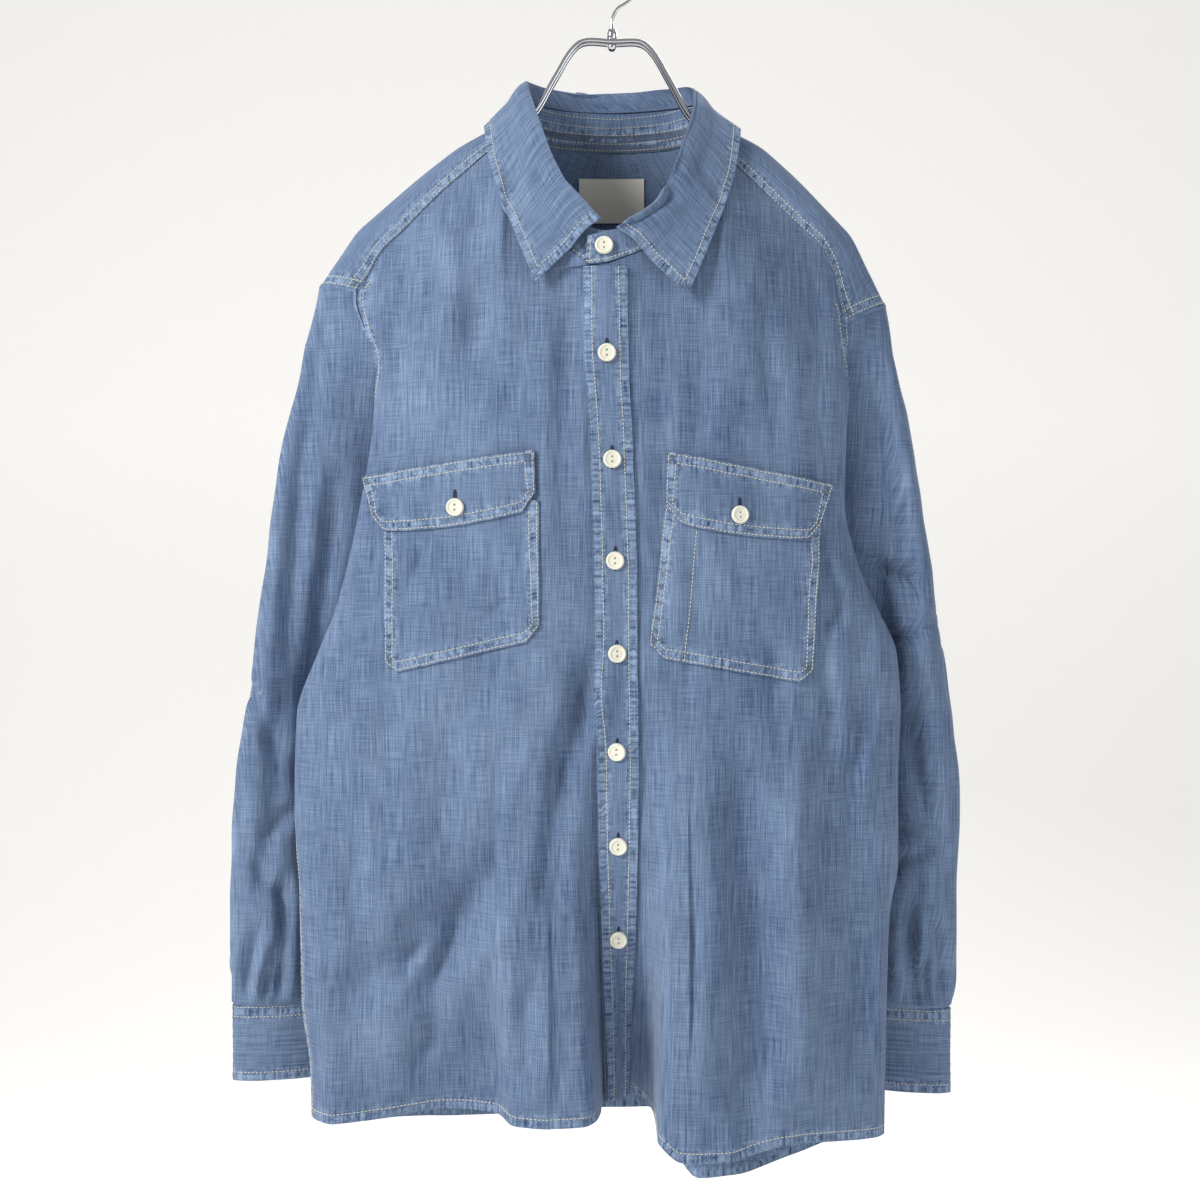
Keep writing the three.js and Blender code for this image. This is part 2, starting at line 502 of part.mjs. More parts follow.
// One level line of a front, from its seam round the outline's fold edge to its inner end
function frontLine(side, drop, innerFrom) {
  const seamX = read(side, 'drop', 'seamX', drop);
  const seamY = read(side, 'drop', 'seamY', drop);
  const edgeX = read(side, 'drop', 'edgeX', drop);
  const edgeY = frontDepth(edgeX, drop);
  const roll = shares(12).map((t) => {
    const turn = (t * Math.PI) / 2;
    const x = seamX + (edgeX - seamX) * Math.sin(turn);
    return new THREE.Vector3(x, seamY + (edgeY - seamY) * (1 - Math.cos(turn)), -drop);
  });
  const face = shares(90).slice(1).map((t) => {
    const x = lerp(edgeX, centreAt(drop) + innerFrom, t * t * (2 - t));
    return frontPoint(x, drop);
  });
  return [...roll, ...face];
}

// A line of a front between the yoke seam and the neckline
function upperLine(seam, neck) {
  return shares(60).map((t) => {
    const x = lerp(seam.x, neck.x, t);
    const drop = lerp(seam.drop, neck.drop, t);
    return new THREE.Vector3(x, frontDepth(x, drop), -drop);
  });
}

function pointOn(table, step) {
  const rows = numbered(table);
  const get = (column) => read(rows, 'step', column, step);
  return new THREE.Vector3(get('x'), get('y'), -get('drop'));
}

// Lets a level point down to the hem's own line
function hang(point, level, hemTable) {
  const low = smooth(HEM_DROP - 160, HEM_DROP, level);
  return point.setZ(point.z - low * (read(hemTable, 'x', 'drop', point.x) - HEM_DROP));
}

// A front from hem to shoulder and neckline: even columns, then its own stations near the centre
function frontPanel(side, seamTable, neckTable, evenTo, stations, sink) {
  const evenColumns = 11;
  const corner = seamTable[0].drop + SEAM;
  const neckRows = [...neckTable].reverse();
  const columns = evenColumns + stations.length;
  const rows = [...LEVELS, corner].map((level) => {
    const near = stations.map((from) => {
      return onFront(centreAt(level) + from, level, -sink * smooth(50, 24, Math.abs(from)));
    });
    const line = [...even(frontLine(side, level, evenTo), evenColumns), ...near];
    const rise = smooth(corner + 90, corner, level) * (corner - neckRows[0].drop - SEAM);
    return line.map((point, i) => {
      const hung = hang(point, level, FRONT_HEM);
      return hung.setZ(hung.z + (rise * i) / (columns - 1));
    });
  });
  const upper = SEAM_STEPS.slice(1).map((v) => {
    const seam = pointOn(seamTable, v * SEAM_REACH);
    const neck = pointOn(neckRows, v * SEAM_REACH);
    return even(upperLine({ x: seam.x, drop: SEAM - seam.z }, { x: neck.x, drop: SEAM - neck.z }), columns);
  });
  return [...rows, ...upper];
}

function makeFronts() {
  const over = [40, 32, 24, FRONT_END, STATIONS[2], STATIONS[1], -FRONT_END];
  const under = [-38, -29, -22, -FRONT_END, STATIONS[1], STATIONS[2], UNDERLAP_HALF];
  const right = frontPanel(LEFT_SIDE, LEFT_YOKE_SEAM, LEFT_NECK, -54, under, UNDERLAP_SINK);
  add('right_front', wall(right, CLOTH), 'cloth');
  const rightSeam = [...RIGHT_YOKE_SEAM].reverse();
  const neck = [...OVERLAP_NECK, ...RIGHT_NECK].reverse();
  const left = frontPanel(RIGHT_SIDE, rightSeam, neck, 54, over, 0);
  add('left_front', wall(left.map((row) => row.reverse()), CLOTH), 'cloth');
}

// The depth of the back: flat over the shoulder blades, round below the armholes
function backDepth(x, drop) {
  const across = acrossAt(x, drop);
  const blade = read(BACK_DEPTH, 'across', 'blade', across);
  const loin = read(BACK_DEPTH, 'across', 'loin', across);
  const hem = read(BACK_DEPTH, 'across', 'hem', across);
  const lower = lerp(loin, hem, smooth(WAIST_DROP, HEM_DROP + 20, drop));
  return lerp(blade, lower, smooth(SHOULDER_BLADE_DROP, LOIN_DROP, drop));
}

// One level line of the back, from the right side round to the left as seen from the front
function backLine(drop, topLeft, topRight) {
  const leftX = read(LEFT_SIDE, 'drop', 'backX', Math.max(drop, topLeft)) + SEAM;
  const rightX = read(RIGHT_SIDE, 'drop', 'backX', Math.max(drop, topRight)) - SEAM;
  const leftOff = read(LEFT_SIDE, 'drop', 'backY', drop) + SEAM_ROOM - backDepth(leftX, drop);
  const rightOff = read(RIGHT_SIDE, 'drop', 'backY', drop) + SEAM_ROOM - backDepth(rightX, drop);
  return shares(120).map((t) => {
    const x = lerp(rightX, leftX, t * t * (3 - 2 * t));
    const leftPull = leftOff * Math.exp((leftX - x) / SEAM_PULL);
    const pull = leftPull + rightOff * Math.exp((x - rightX) / SEAM_PULL);
    return new THREE.Vector3(x, backDepth(x, drop) + pull, -drop);
  });
}

function makeBack() {
  const top = numbered(YOKE.slice(4, 9));
  const rows = shares(20).map((v) => {
    const level = lerp(HEM_DROP, 270, v);
    const high = smooth(370, 270, level);
    return even(backLine(level, 268, 275), 21).map((point) => {
      const seam = read(top, 'endX', 'endDrop', point.x) + SEAM - 270;
      const hung = hang(point, level, BACK_HEM);
      return hung.setZ(hung.z - seam * high);
    });
  });
  add('back', wall(rows, CLOTH), 'cloth');
}

function yokeForm(turn, along) {
  const get = (column) => read(YOKE, 'turn', column, turn);
  const swell = get('swell') * read(SWELL_ALONG, 'along', 'rise', along);
  return new THREE.Vector3(
    lerp(get('neckX'), get('endX'), along),
    lerp(get('neckY'), get('endY'), along),
    swell - lerp(get('neckDrop'), get('endDrop'), along),
  );
}

// The yoke's form, drawn to the front seam as it nears it
function yokePoint(turn, along) {
  const point = yokeForm(turn, along);
  const near = smooth(0.12, 0, Math.min(turn, 1 - turn));
  const end = turn < 0.5 ? 0 : 1;
  const seam = pointOn(end === 0 ? LEFT_YOKE_SEAM : RIGHT_YOKE_SEAM, end === 0 ? 1 - along : along);
  return point.addScaledVector(seam.sub(yokeForm(end, along)), near);
}

function makeYoke() {
  const rows = SEAM_STEPS.map((v) => shares(31).reverse().map((turn) => yokePoint(turn, 1 - v)));
  add('yoke', wall(rows, CLOTH), 'cloth');
}

// A bare rectangular label inside the back of the neck
function makeLabel() {
  const inward = new THREE.Vector3(0, -CLOTH - LAID, 0);
  const rows = [0.56, 0.38, 0.2].map((along) => {
    const turnPerMillimetre = 0.01 / yokePoint(0.51, along).x;
    return [27, 13, 0, -13, -27].map((x) => yokePoint(0.5 + x * turnPerMillimetre, along).add(inward));
  });
  add('neck_label', wall(rows, 1), 'label');
}

const ARMHOLE_DROPS = [310, 330, 365, 400, 440, 480, 520, 550];
const PIT_DROP = 566;

// The armhole as a closed line: over the shoulder's end, down the front seam, up the back seam
function armhole(side, yokeTurns, sign) {
  const over = yokeTurns.map((turn) => yokePoint(turn, 1).add(new THREE.Vector3(sign * 1.2, 0, -0.8)));
  const drops = ARMHOLE_DROPS;
  const seam = (drop, column, apart) => new THREE.Vector3(
    read(side, 'drop', `${column}X`, drop) + sign * (column === 'back' ? 2.2 : 1.5),
    read(side, 'drop', `${column}Y`, drop) + apart,
    -drop,
  );
  const front = drops.map((drop) => seam(drop, 'seam', 1.1));
  const pit = new THREE.Vector3(read(side, 'drop', 'backX', PIT_DROP) + sign * 1.1, 9, -PIT_DROP);
  const back = [290, ...drops].map((drop) => seam(drop, 'back', 0.6)).reverse();
  const start = Math.floor(over.length / 2);
  const line = [...over.slice(start), ...front, pit, ...back, ...over.slice(0, start)];
  return new THREE.CatmullRomCurve3(line, true, 'centripetal');
}

// A sleeve section: an oval from its outer end over the front to its inner end and back
function sleeveRing(table, step, angle) {
  const get = (column) => read(table, 'step', column, Math.max(step, 1));
  const out = new THREE.Vector3(get('outX'), get('outY'), -get('outDrop'));
  const inside = new THREE.Vector3(get('inX'), get('inY'), -get('inDrop'));
  const half = out.clone().sub(inside).multiplyScalar(0.5);
  return out.add(inside).multiplyScalar(0.5)
    .addScaledVector(half, Math.cos(angle))
    .add(new THREE.Vector3(0, -get('half') * Math.sin(angle), 0));
}

function sleevePoint(table, hole, step, turn) {
  const oval = sleeveRing(table, step, turn * 2 * Math.PI);
  if (step >= 1) return oval;
  return hole.getPointAt(turn).lerp(oval, smooth(0, 1, step) * 0.5 + step * 0.5);
}

function makeSleeve(name, table, hole, sign) {
  const steps = shares(17).map((t) => 7 * t);
  const around = shares(SLEEVE_COLUMNS + 1).slice(1);
  const turns = sign > 0 ? around.reverse() : around;
  const rows = steps.map((step) => turns.map((turn) => sleevePoint(table, hole, step, turn % 1)));
  add(name, wall(rows, CLOTH, true), 'cloth');
}

// A cuff: a band once round and a little over itself, its ends buttoned at the back
const CUFF_TURNS = 1.12;
const CUFF_START = 0.35;
const CUFF_SPREAD = { wide: 0.09, deep: 0.23 };

function cuffPoint(cuff, t, drop) {
  const out = new THREE.Vector3(cuff.outX, cuff.outY, 0);
  const inside = new THREE.Vector3(cuff.inX, cuff.inY, 0);
  const half = out.clone().sub(inside).multiplyScalar(0.5);
  const angle = (t * CUFF_TURNS - CUFF_START) * 2 * Math.PI;
  const wide = 1 + (t - 0.5) * CUFF_SPREAD.wide;
  const deep = 1 + (t - 0.5) * CUFF_SPREAD.deep;
  return out.add(inside).multiplyScalar(0.5)
    .addScaledVector(half, wide * Math.cos(angle))
    .add(new THREE.Vector3(0, -cuff.half * deep * Math.sin(angle), -drop));
}

function makeCuff(name, cuff) {
  const middle = (cuff.bottomDrop + cuff.topDrop) / 2;
  const turns = cuff.outX < cuff.inX ? shares(25) : shares(25).reverse();
  const rows = [cuff.bottomDrop, middle, cuff.topDrop].map((drop) => {
    return turns.map((t) => cuffPoint(cuff, t, drop));
  });
  add(name, wall(rows, CUFF_CLOTH), 'cloth');
  const place = cuffPoint(cuff, 0.96, middle);
  const along = cuffPoint(cuff, 0.98, middle).sub(cuffPoint(cuff, 0.94, middle));
  const facing = along.cross(new THREE.Vector3(0, 0, -1)).normalize();
  if (facing.y < 0) facing.negate();
  makeButton(`${name}_button`, place.addScaledVector(facing, 0.5), facing);
}

// The strip that binds the sleeve's opening above the cuff, on the side away from the front
function makeSleevePlacket(name, table, hole) {
  const spot = (step, turn) => sleevePoint(table, hole, step, turn);
  const rows = shares(6).map((v) => [0.79, 0.765, 0.74, 0.715].map((turn) => {
    const step = lerp(6.92, 5.4, v);
    const across = spot(step, turn + 0.01).sub(spot(step, turn - 0.01));
    const up = spot(step - 0.05, turn).sub(spot(step + 0.05, turn));
    const away = across.cross(up).normalize();
    if (away.y < 0) away.negate();
    return spot(step, turn).addScaledVector(away, LAID + CLOTH);
  }));
  const facing = rows[0][1].clone().sub(rows[0][0]).x < 0;
  add(name, wall(facing ? rows : rows.map((row) => row.reverse()), CLOTH), 'cloth');
}

function makeStand() {
  const rows = numbered(STAND);
  const get = (column, step) => read(rows, 'step', column, step);
  const grid = shares(3).map((up) => shares(39).map((step) => new THREE.Vector3(
    lerp(get('baseX', step), get('topX', step), up),
    lerp(get('baseY', step), get('topY', step), up),
    -lerp(get('baseDrop', step), get('topDrop', step), up) + 0.5,
  )));
  add('collar_stand', wall(grid.map((row) => row.reverse()), COLLAR_CLOTH), 'cloth');
}

// The leaf from its fold down to the rim, clear of the fronts
function leafPoint(rows, step, down) {
  const get = (column) => read(rows, 'step', column, step);
  const crest = 3 * Math.sin(Math.PI * Math.min(down * 2.2, 1));
  const x = lerp(get('foldX'), get('rimX'), down);
  const drop = lerp(get('foldDrop'), get('rimDrop'), down) - crest;
  const y = lerp(get('foldY'), get('rimY'), down);
  const clear = drop > read(TOP_EDGE, 'x', 'drop', x) - 4 ? frontDepth(x, drop) - 4.5 : y;
  return new THREE.Vector3(x, y < 0 ? Math.min(y, clear) : y, -drop);
}

// The leaf rises from the stand's upper edge, folds over and falls outside it
function makeLeaf() {
  const rows = numbered(LEAF);
  const stand = numbered(STAND.slice(2, -2));
  const steps = shares(35).reverse();
  const root = steps.map((step) => new THREE.Vector3(
    read(stand, 'step', 'topX', step),
    read(stand, 'step', 'topY', step),
    1.9 - read(stand, 'step', 'topDrop', step),
  ));
  const grid = shares(5).reverse().map((down) => steps.map((step) => leafPoint(rows, step, down)));
  add('collar_leaf', wall([...grid, root], COLLAR_CLOTH), 'cloth');
}

function makePlacket() {
  const rows = [...LEVELS, 290, 270].map((level) => STATIONS.map((from) => {
    return hang(onFront(centreAt(level) + from, level, PLACKET_LIFT), level, FRONT_HEM);
  }));
  add('placket', wall(rows, CLOTH), 'cloth');
}

// A four-cornered piece on a front, its lower corners cut and its lower edge bellied
function laidPiece(name, shape, lift, columns, rowCount) {
  const [a, b, c, d] = shape.x.map((x, i) => ({ x, drop: shape.drop[i] }));
  const rows = shares(rowCount).reverse().map((down) => shares(columns).map((across) => {
    const x = lerp(lerp(a.x, b.x, across), lerp(d.x, c.x, across), down);
    const drop = lerp(lerp(a.drop, b.drop, across), lerp(d.drop, c.drop, across), down);
    const aside = Math.abs(2 * across - 1);
    const bellied = (shape.belly ?? 0) * (1 - aside * aside);
    const cut = shape.corner * Math.max(0, aside * 6 - 5);
    return onFront(x, drop + down * (bellied - cut), lift);
  }));
  add(name, wall(rows, CLOTH), 'cloth');
}

function makePockets() {
  for (const name of Object.keys(POCKETS)) laidPiece(name, POCKETS[name], LAID + CLOTH, 9, 8);
  for (const name of Object.keys(FLAPS)) laidPiece(name, FLAPS[name], 2 * (LAID + CLOTH), 9, 4);
}

// A disc with a raised rim, turned about the axis and faced along a direction
function makeButton(name, place, facing) {
  const r = BUTTON_RADIUS;
  const corners = [[0, 0], [r, 0.6], [r - 0.8, 2.4], [r - 2.2, 1.8], [0, 1.8]];
  const profile = corners.map(([x, y]) => new THREE.Vector2(x, y));
  const geometry = new THREE.LatheGeometry(profile, 13);
  geometry.applyQuaternion(new THREE.Quaternion().setFromUnitVectors(new THREE.Vector3(0, 1, 0), facing));
  geometry.translate(place.x, place.y, place.z);
  add(name, geometry, 'button');
}

function makeButtons() {
  const drops = [335, 416, 493, 564, 639, 712, 787];
  drops.forEach((drop, i) => {
    const facing = frontNormal(centreAt(drop), drop);
    makeButton(`front_button_${i + 2}`, onFront(centreAt(drop), drop, PLACKET_LIFT + 0.4), facing);
  });
  const collar = new THREE.Vector3(-6.5, -80.7, -254);
  makeButton('front_button_1', collar, new THREE.Vector3(-0.02, -1, 0.12).normalize());
  const flap = 2 * (CLOTH + LAID) + 0.4;
  makeButton('right_flap_button', onFront(-120, 452, flap), frontNormal(-120, 452));
  makeButton('left_flap_button', onFront(96, 458, flap), frontNormal(96, 458));
}

// A closed bar along a curve
function bar(points, radius, steps, sides) {
  const outline = new THREE.Shape();
  outline.absarc(0, 0, radius, 0, 2 * Math.PI);
  const ring = new THREE.Shape(outline.getPoints(sides).slice(0, sides));
  const extrudePath = new THREE.CatmullRomCurve3(points, false, 'centripetal');
  return new THREE.ExtrudeGeometry(ring, { steps, extrudePath, bevelEnabled: false });
}

// A turned piece on the hanger's axis: radius and drop of each corner
function turned(name, corners, sides) {
  const profile = corners.map(([radius, drop]) => new THREE.Vector2(radius, -drop));
  add(name, new THREE.LatheGeometry(profile, sides).rotateX(Math.PI / 2), 'chrome');
}

function makeHanger() {
  const shape = [[0, 75, 4.5], [23, 75, 4.5], [32, 82, 4.6], [46, 105, 5], [63, 134, 5.6], [86, 152.6, 6],
    [105, 160.6, 6.6], [130, 179.9, 7], [150, 197.9, 7], [165, 212, 6.6], [178, 228, 6], [185, 235.5, 4.5]];
  const place = (x, y, drop) => new THREE.Vector3(x, y, -drop - HANGER_TILT * x);
  const front = shape.map(([x, drop, y]) => place(x, -y, drop));
  const back = shape.map(([x, drop, y]) => place(x, y, drop)).reverse();
  const otherBack = shape.slice(1).map(([x, drop, y]) => place(-x, y, drop));
  const otherFront = shape.slice(1).map(([x, drop, y]) => place(-x, -y, drop)).reverse();
  const tip = [190, 0, 237];
  const farTip = place(-tip[0], tip[1], tip[2]);
  const path = [...front, place(...tip), ...back, ...otherBack, farTip, ...otherFront];
  const loop = new THREE.CatmullRomCurve3(path, true, 'centripetal');
  add('hanger_rods', new THREE.TubeGeometry(loop, 96, ROD_RADIUS, 6, true), 'chrome');

  const centre = new THREE.Vector2(0, -HOOK_RADIUS + WIRE_RADIUS);
  const crown = shares(16).map((t) => {
    const angle = lerp(-0.3, 1.08, t) * Math.PI;
    const x = centre.x + HOOK_RADIUS * Math.cos(angle);
    return new THREE.Vector3(x, 0, centre.y + HOOK_RADIUS * Math.sin(angle));
  });
  const shank = [[0, -77], [0, -66], [0, -57], [4, -48]].map(([x, z]) => new THREE.Vector3(x, 0, z));
  add('hanger_hook', bar([...shank, ...crown], WIRE_RADIUS, 40, 7), 'chrome');
  turned('hanger_ferrule', [[1.9, 72.6], [4, 72.6], [4, 67], [3, 64], [1.9, 64], [1.9, 72.6]], 12);
  turned('hanger_screw', [[0, 82], [2.6, 81], [3.8, 79], [3.8, 77.3], [0, 77.3]], 12);
}

makeFronts();
makeBack();
makeYoke();
makeLabel();
const leftHole = armhole(LEFT_SIDE, [0.24, 0.2, 0.16, 0.12, 0.08, 0.04, 0.01], -1);
const rightHole = armhole(RIGHT_SIDE, [0.76, 0.8, 0.84, 0.88, 0.92, 0.96, 0.99], 1);
makeSleeve('right_sleeve', LEFT_SLEEVE, leftHole, 1);
makeSleeve('left_sleeve', RIGHT_SLEEVE, rightHole, -1);
makeSleevePlacket('right_sleeve_placket', LEFT_SLEEVE, leftHole);
makeSleevePlacket('left_sleeve_placket', RIGHT_SLEEVE, rightHole);
makeCuff('right_cuff', LEFT_CUFF);
makeCuff('left_cuff', RIGHT_CUFF);
makeStand();
makeLeaf();
makePlacket();
makePockets();
makeButtons();
makeHanger();

export default shirt;
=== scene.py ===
# The looks of a chambray work shirt that hangs buttoned on a chrome two-rod hanger.
# Tables are in millimetres; a drop is the distance below the hook's seat, so z = -drop.
# Nodes named right_ and left_ are on the wearer's sides. Tables and lines named LEFT and RIGHT
# are on the viewer's, so LEFT_SLEEVE is the right_sleeve's.
import math

import bpy
import numpy as np
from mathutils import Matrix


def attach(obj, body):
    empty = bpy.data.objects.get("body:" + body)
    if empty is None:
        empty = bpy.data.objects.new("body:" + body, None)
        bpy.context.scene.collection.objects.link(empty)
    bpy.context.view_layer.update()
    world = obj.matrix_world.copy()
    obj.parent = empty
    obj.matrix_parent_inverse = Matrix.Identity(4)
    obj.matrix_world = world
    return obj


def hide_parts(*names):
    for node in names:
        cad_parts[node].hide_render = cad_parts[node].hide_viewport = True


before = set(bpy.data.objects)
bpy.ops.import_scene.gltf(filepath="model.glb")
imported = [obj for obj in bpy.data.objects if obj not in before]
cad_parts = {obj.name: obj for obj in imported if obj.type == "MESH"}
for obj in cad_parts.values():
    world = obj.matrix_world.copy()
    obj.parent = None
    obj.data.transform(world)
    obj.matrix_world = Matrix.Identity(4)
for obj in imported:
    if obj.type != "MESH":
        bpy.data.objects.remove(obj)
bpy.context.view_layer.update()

# Driving sizes
CLOTH = 1.2
COLLAR_CLOTH = 1.6
CUFF_CLOTH = 1.8
LAID = 0.6
SEAM_ROOM = 0.6
PLACKET_HALF = 16.2
PLACKET_LIFT = 2.3
UNDERLAP_HALF = 12
UNDERLAP_SINK = 2.9
CENTRE_HALF = 54
SIDE_PULL = 25
HEM_DROP = 930
HEM_REACH = 160
BACK_TOP = 270
PIT_DROP = 566
ARMHOLE_DROPS = (310, 330, 365, 400, 440, 480, 520, 550)
FALL = 130
FOLD_DEPTH = 1.7
CUFF_TURNS = 1.12
CUFF_START = 0.35
HOOK_RADIUS = 23.5
HANGER_TILT = 0.018
WIRE_RADIUS = 1.5
ROD_RADIUS = 2.0
BUTTON_RADIUS = 7.0
HOLE_APART = 1.9
STITCH_STEP = 3.1
STITCH_LENGTH = 2.5
STITCH_SIDES = 5
THREAD_RADIUS = 0.36
SEAM_ROWS = (2, 8.5)
HEM_ROW = (7.3,)
PUCKER_REACH = 9


def table(columns, rows):
    """Named columns as arrays; the first column is the key."""
    values = np.array(rows, float).T
    return dict(zip(columns.split(), values))


# The body's sides, level by level: the side seam, the outline's edge and the back's edge
LEFT_SIDE = table("drop seam_x seam_y edge_x back_x back_y", [
    (268, -203, -20, -203, -204, 24),
    (284, -203, -21, -204, -205, 23),
    (307, -196, -23, -197, -199, 24),
    (336, -184, -23, -187, -190, 27),
    (380, -181, -12, -189, -184, 30),
    (430, -186, -3, -196, -188, 32),
    (480, -196, 0, -206, -198, 30),
    (530, -212, 2, -219, -213, 20),
    (565, -226, 2, -233, -226, 7),
    (614, -243, -3, -250, -242, 0),
    (682, -249, -8, -252, -248, -6),
    (757, -246, -14, -248, -246, -13),
    (836, -246, -14, -247, -246, -13),
    (895, -239, -12, -240, -239, -11),
    (950, -238, -9, -239, -238, -8),
])
RIGHT_SIDE = table("drop seam_x seam_y edge_x back_x back_y", [
    (275, 185, -24, 185, 200, 24),
    (302, 185, -24, 186, 196, 24),
    (330, 183, -22, 186, 187, 26),
    (358, 176, -14, 187, 179, 29),
    (402, 175, -5, 185, 178, 31),
    (447, 179, -1, 184, 182, 31),
    (490, 188, 1, 193, 190, 28),
    (530, 203, 2, 210, 204, 19),
    (566, 212, 2, 225, 213, 7),
    (611, 220, -3, 228, 219, 0),
    (663, 221, -8, 226, 220, -6),
    (728, 221, -12, 226, 220, -11),
    (773, 215, -15, 219, 215, -14),
    (828, 212, -18, 216, 212, -17),
    (912, 211, -20, 214, 211, -19),
    (950, 210, -24, 213, 210, -23),
])

# The fronts' top edge: yoke seams and neckline
LEFT_YOKE_SEAM = [
    (-203, 277, -20), (-195, 267, -20), (-183, 247, -20), (-165, 229, -20),
    (-137, 201, -20), (-110, 177, -18), (-86, 157, -14),
]
LEFT_NECK = [
    (-86, 157, -14), (-80, 178, -30), (-66, 205, -50), (-44, 243, -68),
    (-22, 264, -77), (-4, 268, -80),
]
OVERLAP_NECK = [(-22, 269, -80), (-6, 268, -80)]
RIGHT_NECK = [
    (8, 263, -79), (24, 256, -75), (46, 238, -66), (66, 210, -52),
    (80, 185, -32), (86, 166, -14),
]
RIGHT_YOKE_SEAM = [
    (86, 166, -14), (101, 180, -18), (127, 206, -20), (154, 232, -20),
    (164, 241, -20), (176, 265, -20), (181, 288, -22), (185, 302, -24),
]
TOP_EDGE = table("x drop y", LEFT_YOKE_SEAM + LEFT_NECK[1:] + RIGHT_NECK + RIGHT_YOKE_SEAM[1:])

# Depths of the front and back at three levels, from edge to edge of the outline
DEPTH_COLUMNS = "across upper lower hem"
CHEST_DROP, WAIST_DROP = 430, 700
FRONT_DEPTH = table(DEPTH_COLUMNS, [
    (-1, -24, -20, -14), (-0.97, -34, -31, -28), (-0.9, -44, -42, -44), (-0.68, -60, -56, -30),
    (-0.5, -67, -60, -16), (-0.35, -71, -66, -24), (-0.28, -73, -70, -58), (-0.16, -75, -72, -62),
    (0.02, -77, -70, -76), (0.16, -76, -74, -94), (0.29, -74, -77, -98), (0.42, -72, -76, -98),
    (0.55, -68, -72, -90), (0.69, -61, -64, -75), (0.79, -54, -57, -65), (0.92, -42, -44, -52),
    (0.97, -34, -36, -44), (1, -24, -24, -34),
])
BLADE_DROP, LOIN_DROP = 480, 640
BACK_DEPTH = table(DEPTH_COLUMNS, [
    (-1, 28, -18, -12), (-0.97, 29, -8, -2), (-0.9, 31, 3, 7), (-0.82, 33, 9, 14),
    (-0.7, 35, 20, 30), (-0.5, 38, 32, 38), (-0.25, 42, 40, 42), (0, 44, 42, 45),
    (0.2, 43, 42, 45), (0.28, 42, 40, 12), (0.36, 40, 37, -22), (0.49, 38, 31, -20),
    (0.63, 36, 22, -10), (0.78, 33, 12, 0), (0.84, 32, 9, 3), (0.92, 31, 0, -8),
    (0.97, 29, -9, -20), (1, 28, -20, -30),
])
FRONT_HEM = table("x drop", [
    (-238, 934), (-220, 932), (-125, 927), (-50, 930), (20, 928), (34, 934),
    (52, 945), (85, 945), (130, 937), (211, 942),
])
BACK_HEM = table("x drop", [
    (-238, 935), (-200, 946), (-94, 948), (30, 943), (69, 981), (97, 979),
    (130, 971), (177, 957), (210, 943),
])
# The line of the front buttons, and the deep fold beside it that opens towards the hem
CENTRE_LINE = table("drop x", [
    (254, -6), (335, -4.5), (416, -0.5), (493, 2), (564, 3), (712, 4.5), (950, 5),
])
FOLD_SHARE = table("drop share", [
    (600, 0), (700, 0.1), (780, 0.33), (850, 0.65), (930, 1), (950, 1.03),
])
CENTRE_FOLD = table("off x y", [
    (-54, -49, -62), (-38, -22, -61), (-29, -10, -46), (-22, -6, -22), (-17, -5, 2),
    (-11, -1.6, 6.4), (11, 10.6, 22.6), (17, 14, 27), (21, 25, 20), (26, 33, -6),
    (31, 34, -45), (36, 34, -80), (42, 41, -94), (54, 59, -98),
])

# Creases: a line from its top to its bottom, half width, and how far it sinks into the cloth
FOLD_COLUMNS = "top_x top_drop low_x low_drop half sink"
FRONT_FOLDS = table(FOLD_COLUMNS, [
    (-100, 200, -112, 335, 13, 5), (-165, 255, -166, 390, 13, 5),
    (-20, 570, -50, 760, 9, 6), (-80, 720, -165, 845, 14, 7), (-110, 735, -215, 850, 16, 6),
    (108, 660, 104, 930, 16, 8), (66, 640, 72, 900, 13, -4), (145, 640, 145, 900, 13, -5),
    (-141, 238, -144, 384, 9, 2.2), (-40, 292, -33, 492, 10, 2), (-40, 620, -56, 755, 5, 3),
    (-154, 787, -176, 836, 6, 3), (-117, 754, -141, 831, 7, 3.5), (-141, 831, -148, 893, 9, 4),
    (-89, 638, -88, 831, 5, 2), (-62, 820, -75, 905, 8, 3), (-200, 700, -196, 880, 12, 3),
    (162, 488, 178, 524, 6, 3.5), (178, 524, 164, 546, 6, 3.5), (164, 546, 165, 646, 7, 3),
    (-138, 477, -164, 523, 5, 1.3), (-75, 523, -102, 538, 5, 1.3), (-214, 540, -186, 560, 6, 3),
    (-228, 574, -194, 588, 6, 3), (-240, 604, -206, 620, 7, 3), (200, 590, 180, 700, 8, 3),
    (120, 300, 124, 420, 10, 2), (70, 300, 66, 410, 9, 1.6), (160, 270, 158, 400, 11, 3),
    (190, 700, 186, 900, 10, 3), (60, 480, 58, 620, 9, 1.6), (-170, 600, -176, 720, 12, 2.4),
    (126, 560, 132, 700, 7, 1.8), (36, 330, 40, 560, 7, 1.6),
])
BACK_FOLDS = table(FOLD_COLUMNS, [
    (-130, 290, -112, 900, 20, 6), (-62, 300, -50, 860, 16, -4), (20, 290, 8, 900, 22, 5),
    (92, 300, 104, 880, 17, 6), (150, 330, 168, 700, 14, -4), (-175, 380, -214, 620, 14, 5),
    (170, 400, 196, 620, 14, 5), (-10, 560, -40, 800, 12, 4), (60, 600, 84, 900, 10, 4),
    (-190, 640, -120, 760, 10, 3), (-205, 700, -150, 850, 11, 3), (150, 690, 110, 830, 11, 3),
    (-90, 420, -84, 640, 9, 3), (128, 480, 120, 650, 9, 3), (-150, 800, -120, 930, 12, 4),
])
